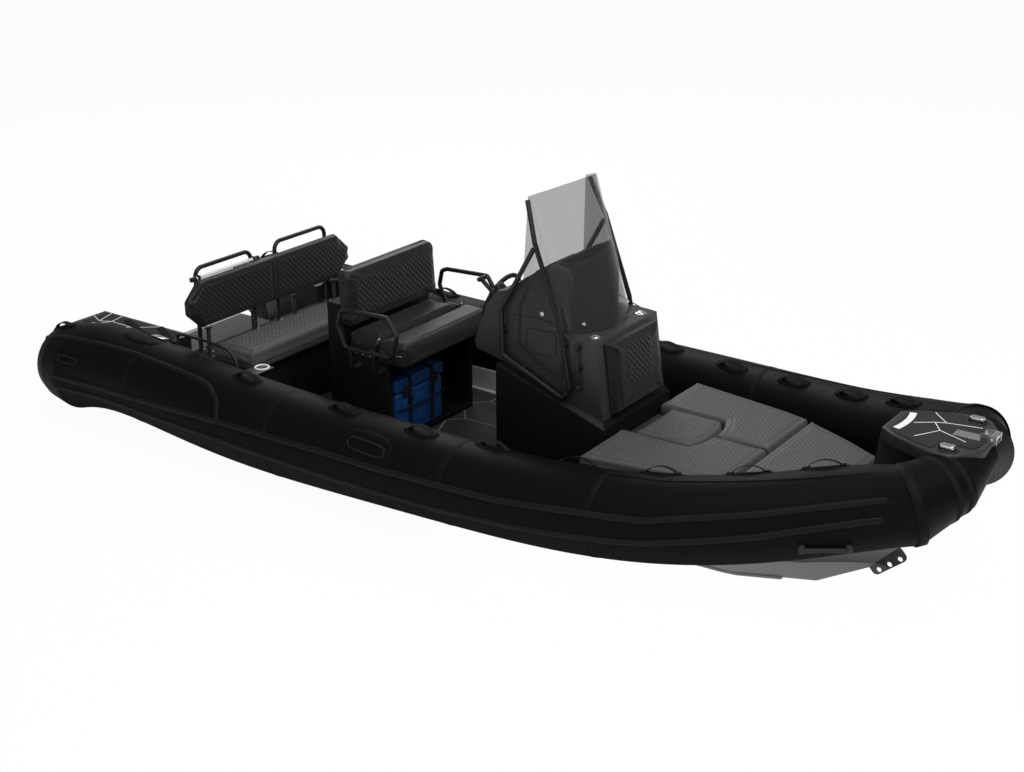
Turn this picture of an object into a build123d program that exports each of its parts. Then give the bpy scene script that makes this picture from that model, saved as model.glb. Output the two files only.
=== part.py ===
from build123d import *
import math
import os

os.makedirs("parts", exist_ok=True)

# Inflatable rib boat, +X to the bow, +Y to port, +Z up, in millimetres.
# The origin is on the centreline, midships, at the waterline.

# Driving dimensions
overall_length = 6000
overall_beam = 2450
half_beam = overall_beam / 2
tube_axis_height = 300
tube_radius = 284
bow_rise = 460
draught = 350
deck_height = 50
seat_clearance = 0.3
stern_x = -overall_length / 2
inner_half_width = half_beam - 2 * tube_radius


def at(share):
    """X at a share of the overall length, counted from the stern."""
    return stern_x + share * overall_length


def mirrored_outline(points):
    """Close a half outline, given from aft to forward, over the centreline."""
    return points + [(x, -y) for x, y in reversed(points)]


def save(builder, name):
    builder.part.label = name
    export_step(builder.part, f"parts/{name}.step")


def swept_tube(points, radius, bend, closed=False):
    """A round tube along a path with filleted corners."""
    with BuildPart() as bar:
        with BuildLine() as path:
            FilletPolyline(*points, radius=bend, close=closed)
        with BuildSketch(Plane(origin=path.line @ 0, z_dir=path.line % 0)):
            Circle(radius)
        sweep(path=path.line)
    return bar.part


# Buoyancy tubes: three lofts that meet at the bow corners.
# Columns: share of the length, outer edge's share of the half beam, share of the bow rise,
# share of the tube radius
side_tube_shares = (
    (0.001, 0.873, 0.00, 0.45),
    (0.004, 0.917, 0.00, 0.64),
    (0.011, 0.952, 0.00, 0.79),
    (0.025, 0.980, 0.00, 0.91),
    (0.050, 1.001, 0.00, 1.00),
    (0.250, 1.000, 0.00, 0.95),
    (0.500, 1.001, 0.00, 0.87),
    (0.633, 0.976, 0.04, 0.83),
    (0.767, 0.866, 0.15, 0.81),
    (0.850, 0.722, 0.33, 0.79),
    (0.955, 0.534, 0.68, 0.72),
)
tail_ring_count = 5
# Columns: share of the length, share of the corner's half width, share of the bow rise,
# share of the tube radius
bow_tube_shares = (
    (0.955, 1.00, 0.68, 0.72),
    (0.975, 0.45, 0.81, 0.57),
    (0.986, 0.00, 0.98, 0.30),
    (0.975, -0.45, 0.81, 0.57),
    (0.955, -1.00, 0.68, 0.72),
)


def side_tube_places(side):
    """Axis points and radii of a side tube, side +1 to port and -1 to starboard."""
    places = []
    for length_share, outer_share, rise_share, radius_share in side_tube_shares:
        radius = radius_share * tube_radius
        axis_y = side * (outer_share * half_beam - radius)
        axis_z = tube_axis_height + rise_share * bow_rise
        places.append((Vector(at(length_share), axis_y, axis_z), radius))
    return places


corner_half_width = side_tube_places(1)[-1][0].Y


def bow_tube_places():
    """Axis points and radii of the bow tube, from its port corner to its starboard one."""
    places = []
    for length_share, corner_share, rise_share, radius_share in bow_tube_shares:
        axis_z = tube_axis_height + rise_share * bow_rise
        point = Vector(at(length_share), corner_share * corner_half_width, axis_z)
        places.append((point, radius_share * tube_radius))
    return places


def corner_turn(side):
    """Direction of the seam's normal where a side tube meets the bow tube."""
    side_run = side_tube_places(side)[-1][0] - side_tube_places(side)[-2][0]
    bow_points = [point for point, _ in bow_tube_places()]
    bow_run = bow_points[1] - bow_points[0]
    if side < 0:
        bow_run = bow_points[-2] - bow_points[-1]
    return side_run.normalized() + bow_run.normalized()


def ring_planes(places, first_turn, last_turn, straight_count=0):
    """Planes across a tube, each square to the run of its neighbours."""
    planes = []
    for i, (point, _) in enumerate(places):
        run = places[min(i + 1, len(places) - 1)][0] - places[max(i - 1, 0)][0]
        if i < max(straight_count, 1):
            run = first_turn
        if i == len(places) - 1:
            run = last_turn
        planes.append(Plane(origin=point, x_dir=(0, 0, 1), z_dir=run))
    return planes


def build_side_tube(side, growth):
    places = side_tube_places(side)
    planes = ring_planes(places, Vector(1, 0, 0), corner_turn(side), tail_ring_count)
    rings = list(zip(planes, places))
    with BuildPart() as tube:
        for plane, (_, radius) in rings[:tail_ring_count]:
            with BuildSketch(plane):
                Circle(radius + growth)
        loft(ruled=True)
        for plane, (_, radius) in rings[tail_ring_count - 1:]:
            with BuildSketch(plane):
                Circle(radius + growth)
        loft()
    return tube


def build_bow_tube(growth):
    places = bow_tube_places()
    planes = ring_planes(places, corner_turn(1), corner_turn(-1) * -1)
    with BuildPart() as tube:
        for plane, (_, radius) in zip(planes, places):
            with BuildSketch(plane):
                Circle(radius + growth)
        loft(ruled=True)
    return tube


sides = (("starboard", -1), ("port", 1))
tube_cutters = []
for side_name, side in sides:
    save(build_side_tube(side, 0), f"tube_{side_name}")
    tube_cutters.append(build_side_tube(side, seat_clearance).part)
save(build_bow_tube(0), "tube_bow")
tube_cutters.append(build_bow_tube(seat_clearance).part)

# Hull: a deep vee with a forefoot, cut to the tubes, with the cockpit and the splash well let in
hull_tuck_share = 1.144
hull_half_width = half_beam - hull_tuck_share * tube_radius
hull_rim_height = 190
transom_share = 0.075
# Columns: length share, keel height share of the draught, chine share of the hull's half width,
# chine height share, side share, side height share, rim's share of the bow rise
hull_shares = (
    (0.075, -0.86, 0.82, 0.00, 1.00, 0.17, 0.00),
    (0.250, -0.94, 0.84, -0.03, 1.00, 0.19, 0.00),
    (0.500, -1.00, 0.88, 0.03, 1.03, 0.29, 0.00),
    (0.640, -1.00, 0.86, 0.06, 1.00, 0.34, 0.03),
    (0.767, -0.91, 0.68, 0.23, 0.87, 0.57, 0.13),
    (0.850, -0.60, 0.46, 0.51, 0.68, 0.86, 0.31),
    (0.900, -0.09, 0.24, 0.83, 0.54, 1.14, 0.48),
    (0.937, 0.57, 0.06, 1.14, 0.38, 1.36, 0.70),
    (0.970, 1.35, 0.02, 1.60, 0.10, 1.75, 0.92),
)


def hull_section(row):
    """The seven corners of one section across the hull, as Y and Z."""
    _, keel_share, chine_share, chine_up, side_share, side_up, rim_up = row
    keel_z = keel_share * draught
    chine_y = chine_share * hull_half_width
    chine_z = chine_up * draught
    side_y = side_share * hull_half_width
    side_z = side_up * draught
    rim_z = hull_rim_height + rim_up * bow_rise
    half = [(chine_y, chine_z), (side_y, side_z), (side_y, rim_z)]
    return [(0, keel_z)] + half + [(-y, z) for y, z in reversed(half)]


with BuildPart() as hull:
    for row in hull_shares:
        with BuildSketch(Plane.YZ.offset(at(row[0]))):
            Polygon(*hull_section(row), align=None)
    loft(ruled=True)

# Cockpit: half outlines from aft to forward, of its upper part and of its narrower floor
tube_underlap = 63
cockpit_half_width = inner_half_width + tube_underlap
well_front_share = 0.158
bench_aft_share = 0.167
bench_front_share = 0.250
console_front_share = 0.657
platform_aft_share = 0.658
locker_aft_share = 0.678
front_cushion_share = 0.795
# Columns: length share, share of the cockpit's half width
cockpit_shares = (
    (0.167, 1.00),
    (0.617, 1.00),
    (0.767, 0.79),
    (0.850, 0.53),
    (0.892, 0.35),
)
floor_shares = (
    (0.167, 1.00),
    (0.617, 1.00),
    (0.775, 0.68),
)
cockpit_outline = [(at(a), b * cockpit_half_width) for a, b in cockpit_shares]
floor_outline = [(at(a), b * cockpit_half_width) for a, b in floor_shares]
well_width_share = 0.83
well_half_width = well_width_share * cockpit_half_width
well_floor_height = 30
forefoot_floor_height = 300
with hull:
    for cutter in tube_cutters:
        add(cutter, mode=Mode.SUBTRACT)
    with BuildSketch(Plane.XY.offset(forefoot_floor_height)):
        Polygon(*mirrored_outline(cockpit_outline), align=None)
    extrude(amount=overall_beam, mode=Mode.SUBTRACT)
    with BuildSketch(Plane.XY.offset(deck_height)):
        Polygon(*mirrored_outline(floor_outline), align=None)
    extrude(amount=overall_beam, mode=Mode.SUBTRACT)
    with BuildSketch(Plane.XY.offset(well_floor_height)):
        with Locations(((at(transom_share) + at(well_front_share)) / 2, 0)):
            Rectangle(at(well_front_share) - at(transom_share), 2 * well_half_width)
    extrude(amount=overall_beam, mode=Mode.SUBTRACT)
save(hull, "hull")

# Transom: a thick plate across the stern, drilled for an outboard motor
transom_thickness = 45
transom_top = 330
transom_top_half_width = 330
transom_shoulder_share = 0.86
transom_shoulder_half_width = transom_shoulder_share * cockpit_half_width
motor_hole_diameter = 13
motor_upper_spacing = 327
motor_lower_spacing = 251
motor_row_gap = 203
motor_upper_drop = 50
_, stern_chine, stern_side, stern_rim, _, _, _ = hull_section(hull_shares[0])
transom_outline = [
    stern_chine,
    stern_side,
    stern_rim,
    (transom_shoulder_half_width, hull_rim_height),
    (transom_top_half_width, transom_top),
]
with BuildPart() as transom:
    with BuildSketch(Plane.YZ.offset(at(transom_share) - transom_thickness)):
        Polygon(
            hull_section(hull_shares[0])[0],
            *transom_outline,
            *[(-y, z) for y, z in reversed(transom_outline)],
            align=None,
        )
    extrude(amount=transom_thickness)
    for cutter in tube_cutters:
        add(cutter, mode=Mode.SUBTRACT)
    upper_row = transom_top - motor_upper_drop
    with Locations(Plane.YZ.offset(at(transom_share))):
        with Locations(
            (motor_upper_spacing / 2, upper_row),
            (-motor_upper_spacing / 2, upper_row),
            (motor_lower_spacing / 2, upper_row - motor_row_gap),
            (-motor_lower_spacing / 2, upper_row - motor_row_gap),
        ):
            Hole(motor_hole_diameter / 2)
save(transom, "transom")

# Sole: foam sheet over the cockpit deck, forward of the bench
sole_thickness = 6
sole_inset = 25
sole_top = deck_height + sole_thickness
sole_front_width_share = 0.93
with BuildPart() as sole:
    with BuildSketch(Plane.XY.offset(deck_height)):
        Polygon(
            *mirrored_outline([
                (at(bench_front_share), cockpit_half_width - sole_inset),
                (at(platform_aft_share), sole_front_width_share * cockpit_half_width - sole_inset),
            ]),
            align=None,
        )
    extrude(amount=sole_thickness)
save(sole, "sole")

# Bow platform: seat base over the locker, with a rebated lid in its top
platform_top = 430
locker_front_share = 0.726
locker_width_share = 0.26
locker_depth = 260
locker_half_width = locker_width_share * cockpit_half_width
lid_thickness = 20
lid_ledge = 25
running_gap = 6
platform_foot_share = 0.91
locker_length = at(locker_front_share) - at(locker_aft_share)
locker_middle = (at(locker_front_share) + at(locker_aft_share)) / 2
platform_outline = [(at(platform_aft_share), sole_front_width_share * cockpit_half_width - seat_clearance)]
platform_outline += [(x, y - seat_clearance) for x, y in cockpit_outline[2:]]
platform_foot = [
    (at(platform_aft_share), platform_foot_share * cockpit_half_width),
    (floor_outline[-1][0], floor_outline[-1][1] - seat_clearance),
]
with BuildPart() as bow_platform:
    with BuildSketch(Plane.XY.offset(deck_height)):
        Polygon(*mirrored_outline(platform_foot), align=None)
    extrude(amount=forefoot_floor_height - deck_height)
    with BuildSketch(Plane.XY.offset(forefoot_floor_height)):
        Polygon(*mirrored_outline(platform_outline), align=None)
    extrude(amount=platform_top - forefoot_floor_height)
    for cutter in tube_cutters + [hull.part]:
        add(cutter, mode=Mode.SUBTRACT)
    with BuildSketch(Plane.XY.offset(platform_top - lid_thickness)):
        with Locations((locker_middle, 0)):
            Rectangle(
                locker_length + 2 * (lid_ledge + running_gap),
                2 * (locker_half_width + lid_ledge + running_gap),
            )
    extrude(amount=lid_thickness, mode=Mode.SUBTRACT)
    with BuildSketch(Plane.XY.offset(platform_top - locker_depth)):
        with Locations((locker_middle, 0)):
            Rectangle(locker_length, 2 * locker_half_width)
    extrude(amount=locker_depth, mode=Mode.SUBTRACT)
save(bow_platform, "bow_platform")

with BuildPart() as bow_locker_lid:
    with BuildSketch(Plane.XY.offset(platform_top - lid_thickness + seat_clearance)):
        with Locations((locker_middle, 0)):
            Rectangle(locker_length + 2 * lid_ledge, 2 * (locker_half_width + lid_ledge))
    extrude(amount=lid_thickness - seat_clearance)
save(bow_locker_lid, "bow_locker_lid")

# Bow cushions: two side ones, one forward, and one with a bowed front on the locker lid
cushion_thickness = 70
cushion_gap = 12
cushion_round = 14
cushion_bottom = platform_top + seat_clearance
lid_cushion_half_width = locker_half_width + lid_ledge - cushion_gap / 2
lid_cushion_front = at(locker_front_share) + lid_ledge - cushion_gap / 2
lid_cushion_nose = 55
side_cushion_aft = at(platform_aft_share) + cushion_gap
front_cushion_aft = at(front_cushion_share)
side_cushion_outer = sole_front_width_share * cockpit_half_width - cushion_gap
# Shares of the cockpit's half width
side_cushion_knee_share = 0.77
side_cushion_front_share = 0.71
front_cushion_width_share = 0.70


def bowed_nose(growth):
    """Segment of a circle ahead of the lid cushion, grown by the gap given."""
    front = lid_cushion_front + growth
    half_width = lid_cushion_half_width + growth
    with BuildSketch() as nose:
        with BuildLine():
            arc = ThreePointArc((front, -half_width), (front + lid_cushion_nose, 0), (front, half_width))
            Line(arc @ 1, arc @ 0)
        make_face()
    return nose.sketch


def build_cushion(points, nose=None, nose_mode=Mode.ADD):
    """A cushion of the bow seats, with its top edges rounded."""
    with BuildPart() as cushion:
        with BuildSketch(Plane.XY.offset(cushion_bottom)):
            Polygon(*points, align=None)
            if nose is not None:
                add(nose, mode=nose_mode)
        extrude(amount=cushion_thickness)
        fillet(cushion.edges().group_by(Axis.Z)[-1], cushion_round)
    return cushion


for side_name, side in sides:
    side_points = [
        (side_cushion_aft, side * (lid_cushion_half_width + cushion_gap)),
        (lid_cushion_front + cushion_gap, side * (lid_cushion_half_width + cushion_gap)),
        (lid_cushion_front + cushion_gap, side * cushion_gap / 2),
        (front_cushion_aft, side * cushion_gap / 2),
        (front_cushion_aft, side * side_cushion_front_share * cockpit_half_width),
        (at(cockpit_shares[2][0]), side * side_cushion_knee_share * cockpit_half_width),
        (side_cushion_aft, side * side_cushion_outer),
    ]
    save(
        build_cushion(side_points, bowed_nose(cushion_gap), Mode.SUBTRACT),
        f"bow_cushion_{side_name}",
    )
# Columns: length share, share of the cockpit's half width
front_cushion_shares = (
    (0.847, 0.51),
    (0.883, 0.35),
)
save(
    build_cushion(
        mirrored_outline(
            [(front_cushion_aft + cushion_gap, front_cushion_width_share * cockpit_half_width)]
            + [(at(a), b * cockpit_half_width) for a, b in front_cushion_shares]
        )
    ),
    "bow_cushion_front",
)
save(
    build_cushion(
        mirrored_outline([
            (at(locker_aft_share) - lid_ledge, lid_cushion_half_width),
            (lid_cushion_front, lid_cushion_half_width),
        ]),
        bowed_nose(0),
    ),
    "locker_cushion",
)

# Bow step: a moulding over the bow tube, with chins at its front corners, on a raked leg
step_top = 840
step_thickness = 62
step_half_width = 280
chin_depth = 105
step_round = 12
chin_aft_share = 0.9717
# Columns: length share, share of the step's half width
step_shares = (
    (0.9067, 0.46),
    (0.9200, 0.68),
    (0.9467, 0.93),
    (0.9583, 1.00),
    (0.9733, 1.00),
    (0.9783, 0.93),
    (0.9925, 0.50),
    (0.9945, 0.38),
)
# Columns: length share, share of the height from the platform to the step
leg_shares = (
    (0.8980, 0.00),
    (0.9067, 0.99),
    (0.9250, 0.99),
    (0.9360, 0.50),
    (0.9360, 0.00),
)
cleat_share = 0.9685
cleat_spread_share = 0.75
cleat_recess_radius = 46
cleat_recess_depth = 9
cleat_y = cleat_spread_share * step_half_width
step_outline = [(at(a), b * step_half_width) for a, b in step_shares]
leg_half_width = step_shares[0][1] * step_half_width
step_rise = step_top - platform_top
with BuildPart() as bow_step:
    with BuildSketch(Plane.XY.offset(step_top - step_thickness)):
        Polygon(*mirrored_outline(step_outline), align=None)
    extrude(amount=step_thickness)
    with BuildSketch(Plane.XY.offset(step_top - chin_depth)):
        Polygon(*mirrored_outline(step_outline), align=None)
        with Locations((at(chin_aft_share), 0)):
            Rectangle(overall_length, overall_beam, align=(Align.MAX, Align.CENTER), mode=Mode.SUBTRACT)
    extrude(amount=chin_depth)
    fillet(bow_step.edges().group_by(Axis.Z)[-1], step_round)
    with BuildSketch(Plane.XZ.offset(-leg_half_width)):
        Polygon(
            *[(at(a), platform_top + seat_clearance + b * step_rise) for a, b in leg_shares],
            align=None,
        )
    extrude(amount=2 * leg_half_width)
    for cutter in tube_cutters + [hull.part, bow_platform.part]:
        add(cutter, mode=Mode.SUBTRACT)
    for side in (-1, 1):
        with BuildSketch(Plane.XY.offset(step_top - cleat_recess_depth)):
            with Locations((at(cleat_share), side * cleat_y)):
                Circle(cleat_recess_radius)
        extrude(amount=cleat_recess_depth, mode=Mode.SUBTRACT)
save(bow_step, "bow_step")

# Console: a base with a ledge that slopes down forward, and a narrower body on it
console_base_half_width = 365
console_half_width = 335
console_height = 1150
console_ledge_bevel = 28
console_aft_share = 0.534
base_aft_height_share = 0.640
base_front_height_share = 0.435


def over_sole(share):
    """Z at a share of the console's height over the sole."""
    return sole_top + share * console_height


with BuildPart() as console_base:
    with BuildSketch(Plane.XZ.offset(-console_base_half_width)):
        Polygon(
            (at(console_aft_share), sole_top),
            (at(console_aft_share), over_sole(base_aft_height_share)),
            (at(console_front_share), over_sole(base_front_height_share)),
            (at(console_front_share), sole_top),
            align=None,
        )
    extrude(amount=2 * console_base_half_width)
    chamfer(console_base.faces().sort_by(Axis.Z)[-1].edges(), console_ledge_bevel)
save(console_base, "console_base")

# Side view of the body. Columns: length share, share of the console's height
console_side_shares = (
    (0.5080, 0.665),
    (0.5060, 0.704),
    (0.5200, 0.908),
    (0.5323, 0.989),
    (0.5438, 1.005),
    (0.5767, 1.128),
    (0.5922, 1.172),
    (0.6040, 1.140),
    (0.6220, 0.838),
    (0.6420, 0.831),
    (0.6540, 0.450),
)
hood_side_share = 0.588
hood_front_share = 0.622
ledge_slope = (over_sole(base_aft_height_share) - over_sole(base_front_height_share)) / (
    at(console_front_share) - at(console_aft_share)
)


def ledge_height(x):
    """Top of the console base under the body."""
    return over_sole(base_aft_height_share) - ledge_slope * (x - at(console_aft_share))


body_aft = at(console_aft_share) + console_ledge_bevel
body_front = at(console_front_share) - console_ledge_bevel
with BuildPart() as console_body:
    with BuildSketch(Plane.XZ.offset(-console_half_width)):
        Polygon(
            (body_aft, ledge_height(body_aft) + seat_clearance),
            *[(at(a), over_sole(b)) for a, b in console_side_shares[:-1]],
            (body_front, ledge_height(body_front) + seat_clearance),
            align=None,
        )
    extrude(amount=2 * console_half_width)
    shelf_z = over_sole(console_side_shares[-3][1])
    with BuildSketch(Plane.XY.offset(shelf_z)):
        with Locations((at(hood_side_share), 0)):
            Rectangle(
                console_height, 4 * console_half_width, align=(Align.MIN, Align.CENTER)
            )
        with BuildLine():
            ThreePointArc(
                (at(hood_side_share), -console_half_width),
                (at(hood_front_share), 0),
                (at(hood_side_share), console_half_width),
            )
            Line(
                (at(hood_side_share), console_half_width),
                (at(hood_side_share), -console_half_width),
            )
        make_face(mode=Mode.SUBTRACT)
    extrude(amount=console_height, mode=Mode.SUBTRACT)
save(console_body, "console_body")

# Forward seat cushion on the console's front
front_seat_thickness = 64
front_seat_half_width = 262
front_seat_round = 16
front_seat_low_share = 0.452
front_seat_high_share = 0.822
console_top_point = Vector(at(console_side_shares[-2][0]), 0, over_sole(console_side_shares[-2][1]))
console_foot_point = Vector(body_front, 0, ledge_height(body_front))
front_run = (console_top_point - console_foot_point).normalized()
front_normal = Vector(front_run.Z, 0, -front_run.X)
front_seat_length = (front_seat_high_share - front_seat_low_share) * console_height
front_seat_plane = Plane(origin=console_foot_point, x_dir=(0, 1, 0), z_dir=front_normal)
with BuildPart() as console_cushion:
    with BuildSketch(front_seat_plane.offset(seat_clearance)):
        with Locations((0, cushion_gap + front_seat_length / 2)):
            Rectangle(2 * front_seat_half_width, front_seat_length)
    extrude(amount=front_seat_thickness)
    fillet(console_cushion.faces().sort_by(Axis.X)[-1].edges(), front_seat_round)
    add(console_base.part, mode=Mode.SUBTRACT)
save(console_cushion, "console_cushion")

# Steering wheel on the console's aft face, on a shaft along its tilted axis
wheel_radius = 175
wheel_rim_radius = 14
wheel_stand_off = 95
hub_radius = 45
hub_length = 40
shaft_radius = 22
spoke_thickness = 8
spoke_width = 34
spoke_turns = (90, 210, 330)
dash_low = Vector(at(console_side_shares[1][0]), 0, over_sole(console_side_shares[1][1]))
dash_high = Vector(at(console_side_shares[2][0]), 0, over_sole(console_side_shares[2][1]))
dash_run = (dash_high - dash_low).normalized()
wheel_axis = Vector(-dash_run.Z, 0, dash_run.X)
wheel_centre = (dash_low + dash_high) * 0.5 + wheel_axis * wheel_stand_off
wheel_plane = Plane(origin=wheel_centre, x_dir=(0, 1, 0), z_dir=wheel_axis)
with BuildPart() as steering_wheel:
    with BuildSketch(Plane(origin=wheel_centre, x_dir=wheel_axis, z_dir=wheel_plane.x_dir)):
        with Locations((0, wheel_radius - wheel_rim_radius)):
            Circle(wheel_rim_radius)
    revolve(axis=Axis(wheel_centre, wheel_axis), revolution_arc=360)
    with BuildSketch(wheel_plane.offset(-hub_length)):
        Circle(hub_radius)
    extrude(amount=hub_length + wheel_rim_radius)
    with BuildSketch(wheel_plane.offset(seat_clearance - wheel_stand_off)):
        Circle(shaft_radius)
    extrude(amount=wheel_stand_off - hub_length)
    for turn in spoke_turns:
        angle = math.radians(turn)
        outward = wheel_plane.x_dir * math.cos(angle) + wheel_plane.y_dir * math.sin(angle)
        with BuildSketch(Plane(origin=wheel_centre, x_dir=wheel_axis, z_dir=outward)):
            Rectangle(spoke_thickness, spoke_width)
        extrude(amount=wheel_radius - wheel_rim_radius)
save(steering_wheel, "steering_wheel")

# Windscreen: a bowed pane whose wings run back along the console's sides
pane_thickness = 6
pane_low_height_share = 0.842
pane_high_height_share = 1.580
# Columns: length share, share of the console's half width
pane_low_shares = ((0.5590, 0.97), (0.6000, 0.93), (0.6210, 0.72), (0.6310, 0.36), (0.6340, 0.00))
pane_high_shares = ((0.5650, 0.87), (0.5735, 0.77), (0.5835, 0.56), (0.5945, 0.28), (0.6000, 0.00))
# The sloped cut along its top. Columns: length share, share of the console's height
pane_trim_shares = ((0.5500, 1.455), (0.6100, 1.580), (0.6100, 1.700), (0.5500, 1.700))


def pane_curve(shares, thinner):
    """Plan curve of the pane from starboard to port, moved inward by the thickness given."""
    half = [
        (at(a) - thinner, b * (console_half_width - thinner))
        for a, b in shares
    ]
    return [(x, -y) for x, y in half] + [(x, y) for x, y in reversed(half[:-1])]


with BuildPart() as windscreen:
    for shares, height_share in (
        (pane_low_shares, pane_low_height_share),
        (pane_high_shares, pane_high_height_share),
    ):
        outer_curve = pane_curve(shares, 0)
        inner_curve = pane_curve(shares, pane_thickness)
        with BuildSketch(Plane.XY.offset(over_sole(height_share))):
            with BuildLine():
                Spline(*outer_curve)
                Line(outer_curve[-1], inner_curve[-1])
                Spline(*reversed(inner_curve))
                Line(inner_curve[0], outer_curve[0])
            make_face()
    loft(ruled=True)
    with BuildSketch(Plane.XZ.offset(-half_beam)):
        Polygon(*[(at(a), over_sole(b)) for a, b in pane_trim_shares], align=None)
    extrude(amount=overall_beam, mode=Mode.SUBTRACT)
    add(console_body.part, mode=Mode.SUBTRACT)
save(windscreen, "windscreen")

# Console rails: a raked bar that runs on as a loop beside the body
rail_radius = 14
rail_bend = 32
rail_gap = 14
# Columns: length share, share of the console's height
bar_shares = (
    (0.5655, 1.470),
    (0.5791, 1.280),
    (0.6082, 0.872),
    (0.6192, 0.573),
    (0.6108, 0.522),
    (0.5428, 0.674),
    (0.5410, 0.910),
    (0.5777, 1.250),
)
bar_top_share = 0.94
# Feet of the rails. Columns: length share, share of the console's height
rail_foot_shares = ((0.5416, 0.800), (0.5650, 0.625), (0.5890, 0.571), (0.6110, 0.800))
rail_offset = console_half_width + rail_gap + rail_radius
for side_name, side in sides:
    bar_points = [(at(a), side * rail_offset, over_sole(b)) for a, b in bar_shares]
    top_x, _, top_z = bar_points[0]
    with BuildPart() as console_rail:
        add(
            swept_tube(
                [(top_x, side * bar_top_share * console_half_width, top_z)] + bar_points[1:],
                rail_radius,
                rail_bend,
            )
        )
        for a, b in rail_foot_shares:
            with BuildSketch(Plane.XZ.offset(-side * (console_half_width + seat_clearance))):
                with Locations((at(a), over_sole(b))):
                    Circle(rail_radius)
            extrude(amount=-side * (rail_gap + rail_radius))
        add(windscreen.part, mode=Mode.SUBTRACT)
    save(console_rail, f"console_rail_{side_name}")

# Helm seat: an open fronted box with a raised back
seat_box_half_width = 420
seat_box_height = 560
seat_back_height = 866
seat_back_depth = 130
seat_wall = 30
seat_box_top = sole_top + seat_box_height
seat_aft_share = 0.3283
seat_front_share = 0.4075
seat_aft = at(seat_aft_share)
seat_front = at(seat_front_share)
with BuildPart() as helm_seat_box:
    with BuildSketch(Plane.XY.offset(sole_top)):
        with Locations(((seat_aft + seat_front) / 2, 0)):
            Rectangle(seat_front - seat_aft, 2 * seat_box_half_width)
    extrude(amount=seat_box_height)
    with BuildSketch(Plane.XY.offset(sole_top)):
        with Locations((seat_aft + seat_back_depth / 2, 0)):
            Rectangle(seat_back_depth, 2 * seat_box_half_width)
    extrude(amount=seat_back_height)
    with BuildSketch(Plane.XY.offset(sole_top + seat_wall)):
        with Locations((seat_aft + seat_back_depth, 0)):
            Rectangle(
                seat_front - seat_aft,
                2 * (seat_box_half_width - seat_wall),
                align=(Align.MIN, Align.CENTER),
            )
    extrude(amount=seat_box_height - 2 * seat_wall, mode=Mode.SUBTRACT)
save(helm_seat_box, "helm_seat_box")

# Helm cushions: a fixed rear one, and a bolster that folds up on pins along the split
seat_cushion_thickness = 144
bolster_front_share = 0.4337
bolster_split_share = 0.3950
bolster_front = at(bolster_front_share)
bolster_half_width = 440
rear_cushion_half_width = 392
bolster_round = 40
bolster_pin_radius = 8
bolster_pin_drop = 10
bolster_split = at(bolster_split_share)
bolster_bracket_thickness = 6
bolster_bracket_depth = 120
bolster_pin_z = seat_box_top + seat_cushion_thickness - bolster_pin_drop
rear_cushion_aft = seat_aft + seat_back_depth + cushion_gap
rear_cushion_front = bolster_split - bolster_pin_radius - seat_clearance
bolster_aft = bolster_split + bolster_pin_radius + seat_clearance
with BuildPart() as helm_cushion:
    with BuildSketch(Plane.XY.offset(seat_box_top + seat_clearance)):
        with Locations(((rear_cushion_aft + rear_cushion_front) / 2, 0)):
            Rectangle(rear_cushion_front - rear_cushion_aft, 2 * rear_cushion_half_width)
    extrude(amount=seat_cushion_thickness)
    fillet(helm_cushion.edges().group_by(Axis.Z)[-1], cushion_round)
save(helm_cushion, "helm_cushion")

bracket_y = rear_cushion_half_width + cushion_gap
with BuildPart() as helm_bolster:
    with BuildSketch(Plane.XY.offset(seat_box_top + seat_clearance)):
        with Locations(((bolster_aft + bolster_front) / 2, 0)):
            Rectangle(bolster_front - bolster_aft, 2 * bolster_half_width)
    extrude(amount=seat_cushion_thickness)
    fillet(helm_bolster.faces().sort_by(Axis.X)[-1].edges(), bolster_round)
    for side in (-1, 1):
        with BuildSketch(Plane.XZ.offset(-side * (bracket_y - seat_clearance))):
            with Locations((bolster_split, bolster_pin_z)):
                Circle(bolster_pin_radius)
        extrude(amount=side * (bracket_y - rear_cushion_half_width + 2 * bolster_pin_radius))
        with BuildSketch(Plane.XZ.offset(-side * (bracket_y - seat_clearance))):
            with Locations((bolster_split, bolster_pin_z)):
                Rectangle(
                    2 * bolster_pin_radius,
                    2 * bolster_pin_radius,
                    align=(Align.MIN, Align.CENTER),
                )
        extrude(amount=side * bolster_pin_radius)
save(helm_bolster, "helm_bolster")

with BuildPart() as bolster_brackets:
    for side in (-1, 1):
        with BuildSketch(Plane.XZ.offset(-side * bracket_y)):
            with Locations((bolster_split, bolster_pin_z)):
                Circle(bolster_pin_radius)
            Polygon(
                (bolster_split - bolster_bracket_depth, seat_box_top + seat_clearance),
                (bolster_split - bolster_bracket_depth / 2, seat_box_top + seat_clearance),
                (bolster_split + bolster_pin_radius / 2, bolster_pin_z),
                (bolster_split - bolster_pin_radius, bolster_pin_z + bolster_pin_radius / 2),
                align=None,
            )
        extrude(amount=-side * bolster_bracket_thickness)
save(bolster_brackets, "bolster_brackets")

# Helm backrest, against the raised back
backrest_half_width = 440
backrest_thickness = 80
backrest_round = 60
backrest_edge_round = 22
backrest_top_height = 1090
backrest_high = sole_top + backrest_top_height
backrest_low = seat_box_top + seat_cushion_thickness + cushion_gap
backrest_lean = 4
backrest_plane = Plane(
    origin=(seat_aft + seat_back_depth + seat_clearance, 0, backrest_low),
    x_dir=(0, 1, 0),
    z_dir=(math.cos(math.radians(backrest_lean)), 0, math.sin(math.radians(backrest_lean))),
)
with BuildPart() as helm_backrest:
    with BuildSketch(backrest_plane):
        with Locations((0, (backrest_high - backrest_low) / 2)):
            RectangleRounded(2 * backrest_half_width, backrest_high - backrest_low, backrest_round)
    extrude(amount=backrest_thickness)
    fillet(helm_backrest.faces().sort_by(Axis.X)[-1].edges(), backrest_edge_round)
    add(helm_seat_box.part, mode=Mode.SUBTRACT)
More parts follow.
